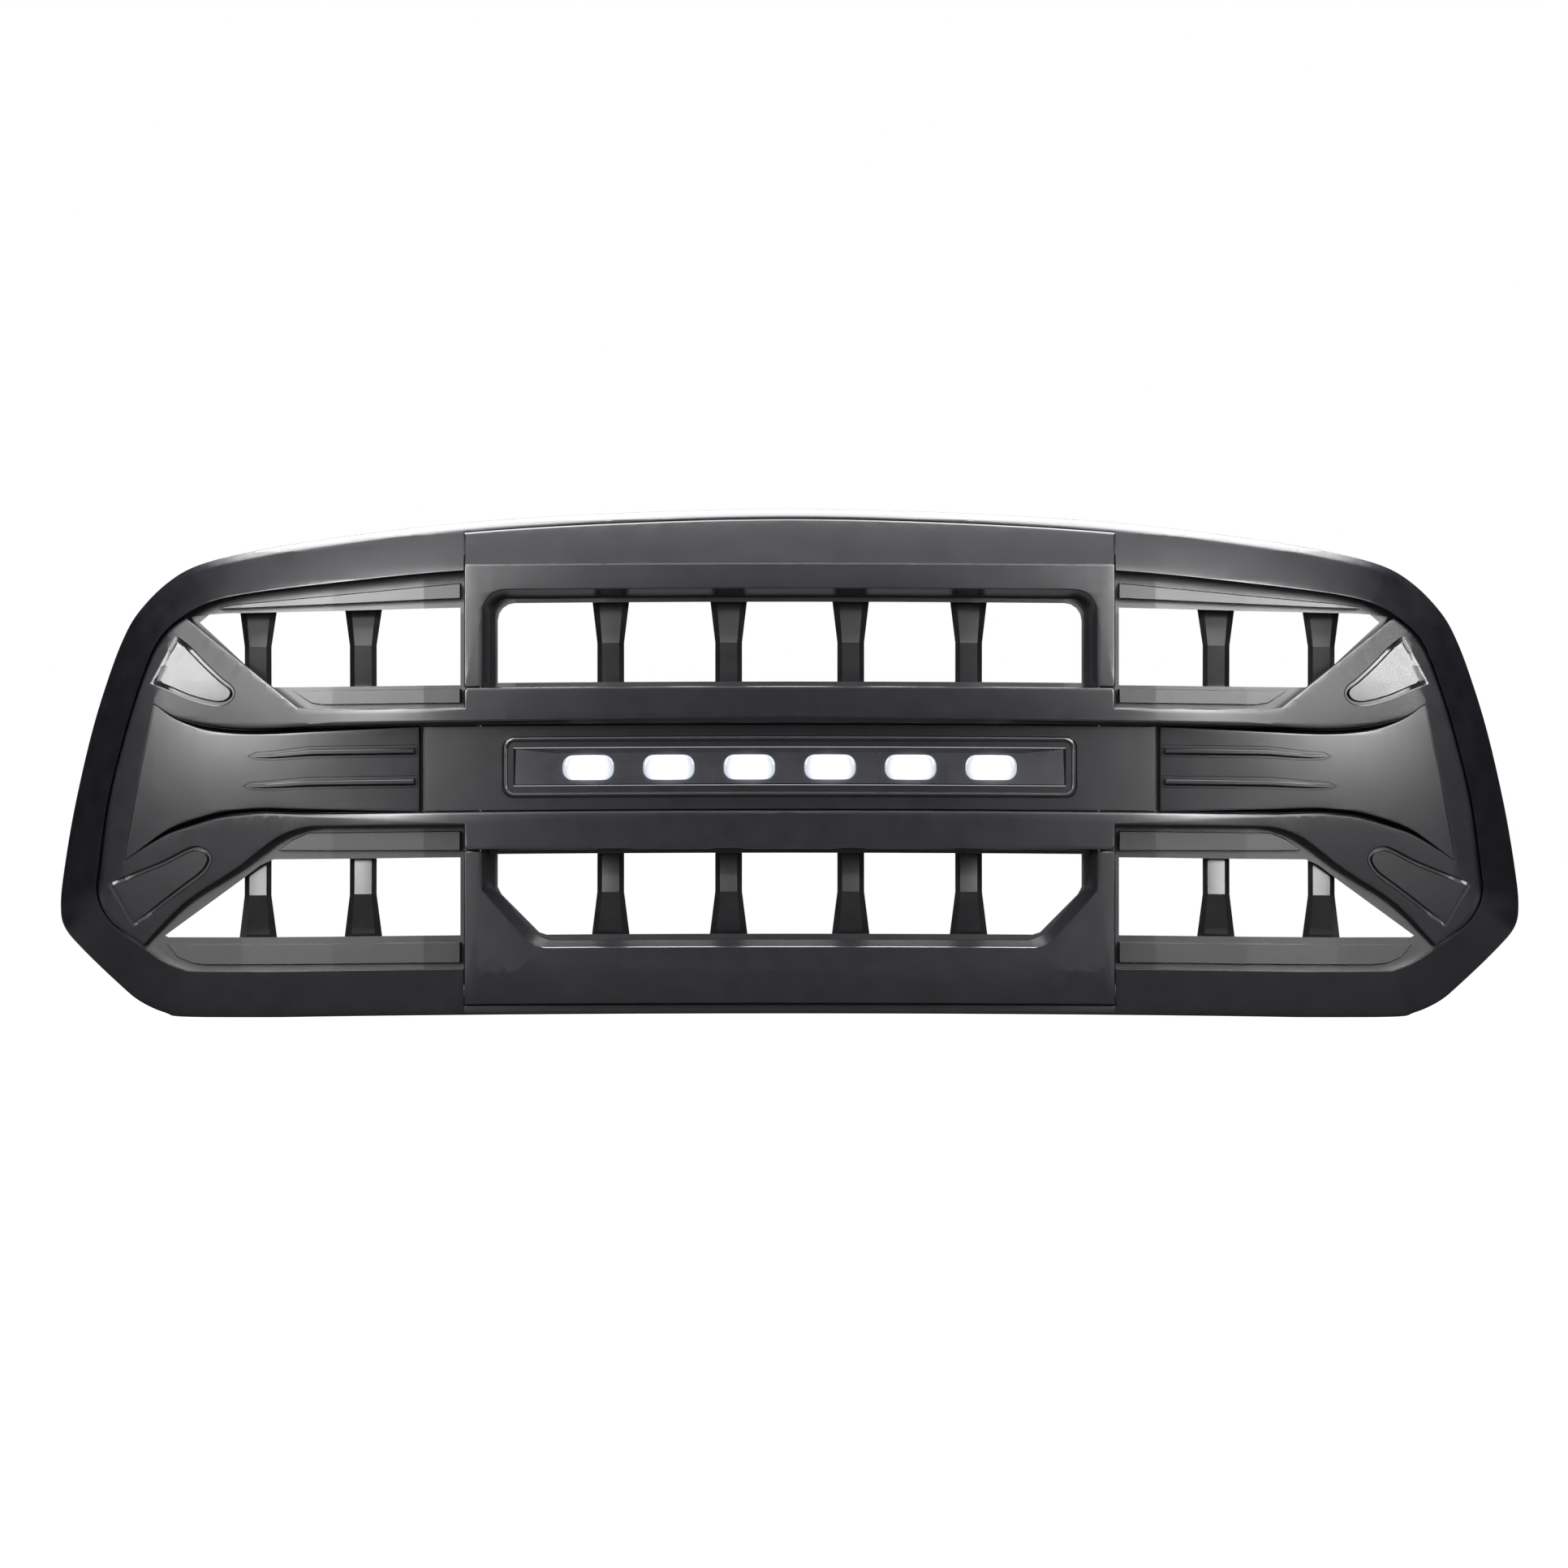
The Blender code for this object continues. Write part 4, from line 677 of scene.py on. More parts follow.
def lit_lens():
    """Clear lens lit from behind, with fine upright flutes."""
    made = new_finish("lit_lens", "clear_lens", (0.08, 0.085, 0.10), 0.1)
    shader = made.node_tree.nodes["Principled BSDF"]
    near = lamp_distance(made, 1.0)
    glow = spread(made, near, 1.6, 0.50, 0.008, 0.022)
    made.node_tree.links.new(glow, shader.inputs["Emission Strength"])
    bright, dim = (0.93, 0.96, 1.0), (0.72, 0.76, 0.84)
    vary_colour(made, near, bright, dim, 0.012, 0.022, "Emission Color")
    relief(made, noise(made, 320.0, 0.0, (1, 0.01, 0.01)), 0.3, 0.0004)
    return made


def bright_metal():
    made = new_finish("bright_metal", "chrome", (0.85, 0.86, 0.88), 0.08, 1.0)
    vary_roughness(made, noise(made, 60.0, 3.0), 0.05, 0.14)
    relief(made, noise(made, 700.0, 1.0), 0.05, 0.0001)
    return made


def solder_mask():
    """Green board with copper tracks showing through as paler lines."""
    made = new_finish("solder_mask", "circuit_green", (0.03, 0.16, 0.07), 0.45)
    tracks = noise(made, 220.0, 0.0, (0.25, 0.25, 1))
    vary_colour(made, tracks, (0.02, 0.11, 0.05), (0.06, 0.24, 0.10), 0.48, 0.52)
    relief(made, tracks, 0.2, 0.0001)
    return made


def cast_metal():
    made = new_finish("cast_metal", "cast_aluminium", (0.10, 0.10, 0.105), 0.45, 1.0)
    tones = (90.0, 4.0, (0.08, 0.08, 0.085), (0.13, 0.13, 0.135))
    return skin(made, (40.0, 4.0, 0.38, 0.55), tones, (1200.0, 2.0, 0.3, 0.00015))


def soft_rubber():
    made = new_finish("soft_rubber", "rubber", (0.012, 0.012, 0.012), 0.8)
    tones = (120.0, 5.0, (0.010, 0.010, 0.010), (0.020, 0.019, 0.018))
    return skin(made, (30.0, 4.0, 0.7, 0.9), tones, (1400.0, 2.0, 0.25, 0.0001))


def zinc_plate():
    made = new_finish("zinc_plate", "zinc_steel", (0.55, 0.56, 0.58), 0.35, 1.0)
    tones = (500.0, 3.0, (0.48, 0.49, 0.52), (0.62, 0.62, 0.60))
    return skin(made, (300.0, 3.0, 0.25, 0.45), tones, (2500.0, 1.0, 0.15, 0.00005))


def dipped_steel():
    """Bracket steel with a dipped black coat: slightly uneven, with an orange-peel skin."""
    made = new_finish("dipped_steel", "coated_steel", (0.03, 0.03, 0.032), 0.45, 0.3)
    tones = (70.0, 5.0, (0.022, 0.022, 0.024), (0.040, 0.040, 0.042))
    return skin(made, (45.0, 4.0, 0.36, 0.56), tones, (420.0, 2.0, 0.2, 0.0002))


SATIN = satin_black()
GRAINED = grained_black()
LAMP = lamp_black()
LIT = lit_lens()
BRIGHT = bright_metal()
BOARD = solder_mask()
CAST = cast_metal()
RUBBER = soft_rubber()
ZINC = zinc_plate()
COATED = dipped_steel()
ALL = (SATIN, GRAINED, LAMP, LIT, BRIGHT, BOARD, CAST, RUBBER, ZINC, COATED)
FINISHES = {made["slot"]: made for made in ALL}


def dress_frame():
    """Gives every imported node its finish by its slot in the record."""
    for entry in frame["record"]["subparts"]:
        node = bpy.data.objects[entry["node"]]
        finish = FINISHES[entry["material_slot"]]
        for slot in node.material_slots:
            slot.material = finish


# ---- style lines

SURROUND_OUTER = [
    (0, 427.1), (150, 423.6), (280, 416.6), (395, 404.5), (455, 395.1), (501.5, 383.7),
    (529, 368.3), (553.2, 343.8), (567, 319.7), (580.7, 283.1), (594.5, 237), (608.3, 176.4),
    (617, 125), (620, 95), (616.5, 76), (600, 56.5), (570, 28), (552, 13.3), (530, 3.4),
    (508.4, 0), (400, 0), (200, 0), (0, 0),
]
SURROUND_LIP = [
    (0, 380), (150, 379.5), (280, 376.2), (395, 366.6), (450, 360.6), (487, 353.6),
    (507, 345.2), (525.5, 332), (539, 315.5), (551.5, 284.6), (565, 241), (579.2, 183.5),
    (587, 128), (589, 108), (585, 92.5), (574, 77.3), (551, 60.2), (533, 48), (516, 41),
    (498.9, 39.3), (400, 39.3), (200, 39.3), (0, 39.3),
]
STEPS = 6
WING_FIRST, WING_LAST = 7, 15  # the knots of the lip that a wing lies between
ARM_ROOT = (396.8, 260.1)
ARM_TOP = [(416.8, 262.1), (425, 268.7), (439.2, 280), (460.2, 296.9), (488.4, 319.6)]
ARM_TOP += [(512.5, 339.6)]
ARM_LOW = [(549.2, 60.3), (515.3, 95.2), (482.6, 117.1), (466.4, 127.7), (450.1, 140.7)]
ARM_LOW += [(434, 152.2), (417.6, 158.7), (404, 161)]
RECESS_TOP = [(408.5, 245), (453.3, 243.6), (481.5, 245), (502.5, 248.5), (523.6, 254.9)]
RECESS_END = [(539, 265), (552, 203)]
RECESS_LOW = [(564.9, 133), (539.4, 149.5), (523.6, 157.8), (498.8, 166), (482.9, 170.2)]
RECESS_LOW += [(466.4, 172.2), (445, 173.6), (415, 172.5)]
SCOOP_TOP = [(521, 322.7), (509.8, 314.8), (495.3, 300), (481.5, 287.2), (473.4, 280.8)]
SCOOP_TOP += [(470.9, 274.2), (474.4, 267.8), (481.5, 264.6), (491.2, 265), (509.8, 270)]
SCOOP_TOP += [(530.4, 278.7), (543, 283)]
SCOOP_LOW = [(580, 112.8), (555.9, 122.5), (531.4, 132.6), (515.3, 141), (505.4, 144.6)]
SCOOP_LOW += [(495.7, 142.6), (490.6, 135.8), (492.4, 127.9), (498.9, 119.8), (515.3, 107.5)]
SCOOP_LOW += [(531.4, 95.2), (547.7, 82.3), (558, 76.2)]


def surround_lines():
    """Matching outer and lip outlines, with the lip stepped out behind the bezels."""
    outer = [(x, max(z, -SHIFT_UP / SHEET)) for x, z in flow(mirrored(SURROUND_OUTER), STEPS)]
    lip = flow(mirrored(SURROUND_LIP), STEPS)
    edges = (CENTRE_HALF + 0.2, CENTRE_HALF + 0.5)
    corner = 500  # the step lies well inside the corners
    pairs = []
    for i, (a, c) in enumerate(zip(outer, lip)):
        b, d = outer[(i + 1) % len(outer)], lip[(i + 1) % len(lip)]
        pairs.append((a, c))
        if abs(a[0]) > corner:
            continue
        found = []
        for edge in (-edges[1], -edges[0], edges[0], edges[1]):
            if min(a[0], b[0]) < edge < max(a[0], b[0]):
                share = (edge - a[0]) / (b[0] - a[0])
                near = (edge, a[1] + (b[1] - a[1]) * share)
                far = (edge, c[1] + (d[1] - c[1]) * (edge - c[0]) / (d[0] - c[0]))
                found.append((share, near, far))
        pairs += [(near, far) for share, near, far in sorted(found)]
    band = CENTRE_BAND / SHEET
    lip = []
    for near, far in pairs:
        if abs(near[0]) < edges[0] + 0.1:
            far = (near[0], near[1] - band if near[1] > HEIGHT / 2 / SHEET else near[1] + band)
        lip.append(far)
    return sheet([near for near, far in pairs]), sheet(lip)


OUTER, LIP = surround_lines()


def surround_frame():
    """The outer ring: lip, band, creased rim and deep skirt, one wall thick."""
    side = 1 if area(OUTER) > 0 else -1
    count = len(OUTER)
    rolls, creases, insets, lips = [], [], [], []
    for i in range(count):
        (x0, z0), (x1, z1) = OUTER[i - 2], OUTER[(i + 2) % count]
        length = math.hypot(x1 - x0, z1 - z0)
        nx, nz = (z1 - z0) / length * side, (x0 - x1) / length * side
        up, down = max(nz, 0) ** 2, max(-nz, 0) ** 2
        rolls.append(ROLL_TOP * up + ROLL_SIDE * nx * nx + ROLL_BOTTOM * down)
        insets.append(RIM_TOP * up + RIM_SIDE * (1 - up))
        creases.append(CREASE_TOP * up + 0.93 * ROLL_SIDE * nx * nx + CREASE_BOTTOM * down)
        is_centre = abs(OUTER[i][0]) < (CENTRE_HALF + 0.3) * SHEET
        lips.append(creases[-1] if is_centre else 0.0)

    made = Moulding()

    def between(start, end, start_depth, end_depth, reach):
        """The ring a set distance from the start outline towards the end outline."""
        points, depths = [], []
        for i, (a, b) in enumerate(zip(start, end)):
            length = math.hypot(b[0] - a[0], b[1] - a[1])
            share = (reach[i] if isinstance(reach, list) else reach) / length
            points.append((a[0] + (b[0] - a[0]) * share, a[1] + (b[1] - a[1]) * share))
            depths.append(start_depth[i] + (end_depth[i] - start_depth[i]) * share)
        return points, depths

    crease = between(OUTER, LIP, rolls, creases, insets)[0]
    outside, outside_depth = between(crease, OUTER, creases, rolls, 0.0006)
    inside, inside_depth = between(crease, LIP, creases, lips, 0.0010)
    near_lip, near_lip_depth = between(LIP, crease, lips, creases, 0.0011)
    skirt_top = offset(OUTER, -0.0004)
    inner_skin = offset(OUTER, -WALL)
    inner_lip = offset(LIP, WALL)
    rings = [
        made.ring(LIP, REAR_PLANE),
        made.ring(LIP, [d + 0.0011 for d in lips]),
        made.ring(offset(LIP, 0.0003), [d + 0.0003 for d in lips]),
        made.ring(near_lip, near_lip_depth),
        made.ring(inside, inside_depth),
        made.ring(outside, outside_depth),
        made.ring(skirt_top, [d - 0.0004 for d in rolls]),
        made.ring(OUTER, [d + 0.0008 for d in rolls]),
        made.ring(OUTER, [d + FLANGE for d in rolls]),
        made.ring(inner_skin, [d + FLANGE for d in rolls]),
        made.ring(inner_skin, [d + WALL for d in rolls]),
        made.ring(inner_lip, [d + WALL for d in lips]),
        made.ring(inner_lip, REAR_PLANE),
    ]
    made.wall(*rings, rings[0])
    add_piece("moulded_surround", made.bm, SATIN, ["surround_frame"])


# ---- bezels


def bezel_top():
    """The top edge of the upper bezel, under the surround's rim."""
    edge = CENTRE_HALF * SHEET
    reach = edge + 0.0003
    run = sorted(p for p in LIP if abs(p[0]) < reach and p[1] > HEIGHT / 2)
    return [(min(edge, max(-edge, x)), z - SEAM) for x, z in run]


def upper_bezel():
    """A beam on two pillars round the upper window."""
    foot = RAIL_TOP * SHEET + SIDE_GAP
    half = CENTRE_HALF * SHEET

    def line(window, top, radius):
        arch = rounded(window * SHEET, 0, top * SHEET, radius, (True, False, False, True), 10)
        inside = [p for p in arch if p[1] > 0.01]
        right = inside[: len(inside) // 2]
        left = inside[len(inside) // 2 :]
        inner = [(-window * SHEET, foot)] + left + right + [(window * SHEET, foot)]
        return bezel_top() + [(half, foot)] + inner[::-1] + [(-half, foot)]

    front, back = (259.6, 359.4, 0.0186), (253.5, 352.3, 0.0146)
    bm = tray(line(*front), rear=line(*back))
    rows = [BEZEL_BREAK_TOP * SHEET + shift for shift in (-0.0015, 0, 0.0015)]
    add_piece("moulded_upper_bezel", bm, SATIN, ["upper_bezel"], bezel_form, rows)


def lower_bezel():
    """The raised section below the crossbar, with the chamfered lower window."""
    head = RAIL_LOW * SHEET - SIDE_GAP
    half = CENTRE_HALF * SHEET
    foot = CENTRE_BAND + SEAM

    def line(draft):
        window = open_flow([(259.8, 111.8), (259.2, 106.5), (256.5, 102), (224.6, 66.3)], 3)
        window += open_flow([(224.6, 66.3), (217, 60.1), (208, 57)], 3)[1:]
        run = [(x - draft, z + draft) for x, z in window]
        right = [((259.8 - draft) * SHEET, head)] + sheet(run)
        left = [(-x, z) for x, z in reversed(right)]
        rim = [(half, head), (half, foot), (-half, foot)]
        return [(-half, head)] + left[::-1] + right[::-1] + rim

    bm = tray(line(0.0), rear=line(6.1))
    rows = [BEZEL_BREAK_LOW * SHEET]
    add_piece("moulded_lower_bezel", bm, SATIN, ["lower_bezel"], bezel_form, rows)


# ---- crossbar


def wing_edge():
    """The edge of a wing, just inside the surround's lip."""
    run = sheet(flow(mirrored(SURROUND_LIP), STEPS)[WING_FIRST * STEPS : WING_LAST * STEPS + 1])
    ends = sheet([ARM_TOP[-1]]) + run + sheet([ARM_LOW[0]])
    out = []
    for (x0, z0), (x, z), (x1, z1) in zip(ends, run, ends[2:]):
        gap = SIDE_GAP / math.hypot(x1 - x0, z1 - z0)
        out.append((x + (z1 - z0) * gap, z - (x1 - x0) * gap))
    return out


def crossbar_line():
    corner = 2.5
    half = sheet([(0, RAIL_TOP), (CENTRE_HALF - corner, RAIL_TOP)])
    half += sheet([(CENTRE_HALF, RAIL_TOP - corner), (CENTRE_HALF, ARM_ROOT[1]), ARM_ROOT])
    half += sheet(open_flow(ARM_TOP, 5)) + wing_edge() + sheet(open_flow(ARM_LOW, 5))
    half += sheet([(CENTRE_HALF, 161.0), (CENTRE_HALF, RAIL_LOW + corner)])
    half += sheet([(CENTRE_HALF - corner, RAIL_LOW), (0, RAIL_LOW)])
    return mirrored(half)


def recess_half(start_top, start_low):
    """The right half of the recess between the rails, from its top to its bottom."""
    top = open_flow(RECESS_TOP + RECESS_END[:1], 5)
    low = open_flow(RECESS_LOW, 5)
    return [start_top] + top + [RECESS_END[1]] + low + [start_low]


def scoop(points, sink):
    """A tongue-shaped pocket: level with the wing at the frame, deepest at its round end."""
    line = sheet(open_flow(points, 5))
    (ax, az), (bx, bz) = line[0], line[-1]

    def from_mouth(x, z):
        """How far a point lies inside the line across the pocket's mouth."""
        return ((az - bz) * (abs(x) - bx) - (ax - bx) * (z - bz)) / math.hypot(ax - bx, az - bz)

    deepest = max((from_mouth(x, z) for x, z in line), key=abs)

    def depth(x, z):
        return sink * max(0.0, from_mouth(x, z) / deepest)

    def groove(x, z):
        """The dark line round the pocket, which runs out towards the frame."""
        return GROOVE * ease(depth(x, z) / sink / 0.25)

    return line, (depth, groove)


def inside_crease(x, z):
    """0 along the recess's outer end, 1 away from it."""
    land, run = 0.002, 0.05
    return ease((crease_x(z) - land - abs(x)) / run)


def crossbar():
    """The dog-bone: two rails and four arms that widen into the wings."""
    scoops = [scoop(SCOOP_TOP, SCOOP_SINK), scoop(SCOOP_LOW, SCOOP_SINK * 0.5)]
    pads = scoops + [(flipped(line), depth) for line, depth in scoops]

    def chamfer(x, z):
        """Widest over the middle of the upper rail, thin elsewhere."""
        over = ease((z - 0.238) / 0.005)
        return 0.0002 + 0.0046 * over * ease((0.400 - abs(x)) / 0.12)

    def draft(x, z):
        """The recess opens towards its front, most along the upper rail and the arms."""
        return 0.0001 + 0.0009 * inside_crease(x, z)

    def drop(x, z):
        return 0.0002 + 0.0024 * inside_crease(x, z)

    recess = mirrored(sheet(recess_half((0, RAIL_TOP_INNER), (0, RAIL_LOW_INNER))))
    bm = tray(crossbar_line(), [(recess, chamfer, drop, draft)], pads)
    rows = levels(0.060, 0.340, 0.014)
    add_piece("moulded_crossbar", bm, SATIN, ["crossbar"], crossbar_form, rows)


FINS = [(455.8, 221.3, 224.2), (460.2, 195.9, 198.1)]  # tip, tip height, root height
FIN_HALF = 3.4


def fin(tip, tip_z, root_z):
    """A tapered ridge along the insert, from its tip to the panel end."""
    end = PANEL_HALF + 7
    upper = [(tip, tip_z), (tip - 3, tip_z + 1.7), (tip - 16, tip_z + 2.6)]
    upper += [(tip - 50, root_z + FIN_HALF)]
    lower = [(tip - 50, root_z - FIN_HALF), (tip - 16, tip_z - 2.0), (tip - 3, tip_z - 1.4)]
    return upper + [(end, root_z + FIN_HALF), (end, root_z - FIN_HALF)] + lower


def insert_edge(x, z):
    return 0.0001 + 0.0010 * inside_crease(x, z)


def wing_inserts():
    """The panels that fill the ends of the crossbar's recess, with two fins each."""

    def gap(x, z):
        return -0.0001 - RECESS_GAP * inside_crease(x, z) * (abs(x) > GAP_FROM)

    inner = PANEL_HALF + 4
    whole = sheet(recess_half((inner, RAIL_TOP_INNER), (inner, RAIL_LOW_INNER)))
    line = offset(whole, gap)
    rear = offset(whole, -0.0002)
    pads = [(sheet(fin(*f)), -FIN_RISE) for f in FINS]
    rows = levels(0.130, 0.270, 0.008)
    for side, name in ((1, "right"), (-1, "left")):
        bm = tray(line, (), pads, rear=rear, round_by=insert_edge)
        bmesh.ops.scale(bm, vec=(side, 1, 1), verts=bm.verts)
        add_piece(f"moulded_{name}_insert", bm, SATIN, [f"{name}_wing_insert"], insert_form, rows)


# ---- light bar


def bar_line(grow, radius=0.0):
    corners = (radius > 0,) * 4
    return rounded(BAR_HALF + grow, BAR_LOW - grow, BAR_HIGH + grow, radius, corners)


def lamp_line(x, grow=0.0):
    """A lamp opening: flat top and bottom with bowed ends."""
    half_w, half_h = LAMP_WIDTH / 2 + grow, LAMP_HEIGHT / 2 + grow
    line = rounded(half_w, LAMP_Z - half_h, LAMP_Z + half_h, LAMP_RADIUS + grow)
    return [(px + x, pz) for px, pz in line]


def light_panel():
    """The flat panel behind the bar."""
    half = PANEL_HALF * SHEET
    edge = box(-half, half, RAIL_LOW_INNER * SHEET, RAIL_TOP_INNER * SHEET)
    hole = bar_line(BAR_NECK + 2 * SEAT_GAP, NECK_RADIUS)
    bm = tray(offset(edge, -SIDE_GAP), [hole], front=PANEL_FACE, wall=0.0025, round_by=0.0004)
    add_piece("moulded_light_panel", bm, SATIN, ["light_panel"])


def light_bezel():
    """The bead round the bar, rolled at both edges, with a neck through the panel."""
    made = Moulding()
    back = PANEL_FACE - SEAT_GAP
    outside, inside = [], []
    for turn in EDGE_TURNS:
        reach = BEAD_ROLL * (1 - math.cos(math.radians(turn)))
        rise = BEAD_ROLL * (1 - math.sin(math.radians(turn)))
        outside.append(made.ring(bar_line(BEAD_WIDTH - reach, BEAD_RADIUS), BEAD_FACE + rise))
    for inset, drop in ((0.0006, 0.0), (0.0018, 0.0006), (0.0022, BEAD_SHELF)):
        line = bar_line(BEAD_WIDTH - BEAD_ROLL - inset, BEAD_RADIUS - BEAD_ROLL)
        inside.append(made.ring(line, BEAD_FACE + drop))
    shelf = made.ring(bar_line(SEAT_GAP), BEAD_FACE + BEAD_SHELF)
    foot = made.ring(bar_line(BEAD_WIDTH, BEAD_RADIUS), back)
    neck = made.ring(bar_line(BAR_NECK, NECK_RADIUS), back)
    neck_end = made.ring(bar_line(BAR_NECK, NECK_RADIUS), BAR_SEAM)
    inner_end = made.ring(bar_line(SEAT_GAP), BAR_SEAM)
    made.wall(foot, *outside, *inside)
    made.fill(inside[-1], shelf)
    made.wall(shelf, inner_end)
    made.fill(foot, neck)
    made.wall(neck, neck_end)
    made.fill(neck_end, inner_end)
    add_piece("rolled_light_bezel", made.bm, SATIN, ["light_bezel"])


def light_cover():
    """The bar's face, chamfered along the top, with a rimmed window for each lamp."""
    half, run, edge = BAR_HALF, BAR_HALF - CHAMFER_RUN, COVER_EDGE
    outer = [(-half, BAR_HIGH), (-run, BAR_HIGH), (run, BAR_HIGH), (half, BAR_HIGH)]
    outer += [(half, BAR_LOW), (-half, BAR_LOW)]
    face = [(-half + 2 * edge, BAR_HIGH - edge), (-run, BAR_HIGH - BAR_CHAMFER)]
    face += [(run, BAR_HIGH - BAR_CHAMFER), (half - 2 * edge, BAR_HIGH - edge)]
    face += [(half - edge, BAR_LOW + edge), (-half + edge, BAR_LOW + edge)]
    made = Moulding()
    front = made.ring(face, BAR_FACE)
    shoulder = made.ring(outer, BAR_FACE + COVER_WALL * 0.6)
    rim = made.ring(outer, BAR_SEAM)
    inset = offset(outer, -0.002)
    rim_inner = made.ring(inset, BAR_SEAM)
    floor = made.ring(inset, BAR_FACE + COVER_WALL)
    made.wall(front, shoulder, rim)
    made.wall(rim_inner, floor)
    made.fill(rim, rim_inner)
    fronts, backs = [], []
    for x in LAMPS:
        fronts.append(made.ring(lamp_line(x, SEAT_GAP + 0.0006), BAR_FACE))
        lip = made.ring(lamp_line(x, SEAT_GAP + 0.0001), BAR_FACE + 0.0005)
        backs.append(made.ring(lamp_line(x, SEAT_GAP), BAR_FACE + COVER_WALL))
        made.wall(fronts[-1], lip, backs[-1])
    made.fill(front, *fronts)
    made.fill(floor, *backs)
    add_piece("light_bar_face", made.bm, LAMP, ["light_cover"], smooth=20)


def lenses():
    """Six domed lenses."""
    front, rise, thick = BAR_FACE - 0.0006, 0.0012, 0.0041
    for number, x in enumerate(LAMPS, 1):
        made = Moulding()
        rings = [made.ring(lamp_line(x), front + thick), made.ring(lamp_line(x), front + rise)]
        for inset, drop in ((0.0004, 0.7), (0.0012, 0.4), (0.0025, 0.15), (0.0040, 0.0)):
            rings.append(made.ring(lamp_line(x, -inset), front + rise * drop))
        made.wall(*rings)
        made.fill(rings[0])
        made.fill(rings[-1])
        add_piece(f"lit_lens_{number}", made.bm, LIT, [f"lens_{number}"])


# ---- slats


SLAT_WIDE, SLAT_NARROW = 0.0317, 0.0227
SLAT_BACK = 0.050
SLAT_X = (-0.1516, -0.0517, 0.0517, 0.1516)
SIDE_SLAT_X = ((0.3617, "inner"), (0.4513, "outer"))
SLAT_TOP, SIDE_SLAT_TOP, SLAT_FOOT = 0.3600, 0.3530, 0.0560
UPPER_KINK, LOWER_KINK = 0.3141, 0.1033
KINK_DEPTH, END_DEPTH, WAIST_DEPTH = 0.0222, 0.0328, 0.0330


def slat(name, x, stations):
    """A bar with a flat front between two facets; stations are (height, width, depth)."""
    made = Moulding()
    rings = []
    for z, width, front in stations:
        half = width / 2
        line = [(-0.8 * half, SLAT_BACK), (-half, front + 0.012), (-half, front + 0.005)]
        line += [(-0.64 * half, front), (0, front - 0.0003), (0.64 * half, front)]
        line += [(half, front + 0.005), (half, front + 0.012), (0.8 * half, SLAT_BACK)]
        outline = [(px + x, z) for px, y in line]
        rings.append(made.ring(outline, [y for px, y in line]))
    made.wall(*rings)
    bmesh.ops.remove_doubles(made.bm, verts=made.bm.verts, dist=TOUCHING)
    bmesh.ops.holes_fill(made.bm, edges=[e for e in made.bm.edges if e.is_boundary])
    add_piece(f"faceted_{name}", made.bm, GRAINED, [name], columns=0.5, smooth=10)


def slats():
    """The bars lean back above and below a kink, so their upper facets catch the light."""
    kink = KINK_DEPTH
    top = (SLAT_WIDE + 0.002, END_DEPTH + 0.0035)
    foot = (SLAT_FOOT, SLAT_WIDE + 0.003, END_DEPTH + 0.0040)
    upper_kink, lower_kink = (UPPER_KINK, SLAT_NARROW, kink), (LOWER_KINK, SLAT_NARROW, kink)
    for number, x in enumerate(SLAT_X, 1):
        stations = [(SLAT_TOP, *top), upper_kink, (0.2720, SLAT_NARROW, kink + 0.0080)]
        slat(f"upper_slat_{number}", x, stations)
        stations = [(0.1430, SLAT_NARROW, kink + 0.0075), lower_kink, foot]
        slat(f"lower_slat_{number}", x, stations)
    waist = [(0.2590, kink + 0.0100), (0.2580, WAIST_DEPTH)]
    waist += [(0.1600, WAIST_DEPTH), (0.1590, kink + 0.0095)]
    stations = [(SIDE_SLAT_TOP, *top), upper_kink]
    stations += [(z, SLAT_NARROW, depth) for z, depth in waist] + [lower_kink, foot]
    for side, side_name in ((1, "right"), (-1, "left")):
        for x, place in SIDE_SLAT_X:
            slat(f"{side_name}_{place}_slat", side * x, stations)


# ---- fixings

FRAME_SCREWS = [(95, 261), (228, 261), (95, 156), (228, 156), (95, 387), (225, 387), (95, 31)]
FRAME_SCREWS += [(225, 31), (392, 252.6), (560.3, 215), (572.5, 160), (332, 222), (332, 196)]
FRAME_SCREWS += [(536, 205), (335, 382.5), (455, 369), (350, 30), (478, 30), (570.5, 251)]
FRAME_SCREWS += [(595, 141)]
BRACKET_SCREWS = [(112, 391), (128, 391), (318.5, 365), (334.5, 365), (362.5, 38), (378.5, 38)]
BRACKET_THICK = 0.003
HEAD_RADIUS = 0.0044
HEAD_HEIGHT = 0.0026
DRIVE_RADIUS = 0.0018


def circle(x, z, radius, steps=20):
    turns = [2 * math.pi * step / steps for step in range(steps)]
    return [(x + radius * math.cos(turn), z + radius * math.sin(turn)) for turn in turns]


def screw_heads(name, points, seat):
    """Pan heads with a six-sided drive, on the back of the rear frames or brackets."""
    made = Moulding()
    top = seat + HEAD_HEIGHT
    for x, z in sheet([(side * x, z) for side in (1, -1) for x, z in points]):
        rings = [made.ring(circle(x, z, HEAD_RADIUS), seat)]
        for share, height in ((1.0, 0.45), (0.93, 0.75), (0.78, 0.94), (0.60, 1.0)):
            line = circle(x, z, HEAD_RADIUS * share)
            rings.append(made.ring(line, seat + HEAD_HEIGHT * height))
        mouth = made.ring(circle(x, z, DRIVE_RADIUS, 6), top)
        bottom = made.ring(circle(x, z, DRIVE_RADIUS, 6), seat + HEAD_HEIGHT * 0.4)
        made.wall(*rings)
        made.wall(mouth, bottom)
        made.fill(rings[-1], mouth)
        made.fill(rings[0])
        made.fill(bottom)
    add_piece(name, made.bm, ZINC, columns=10)


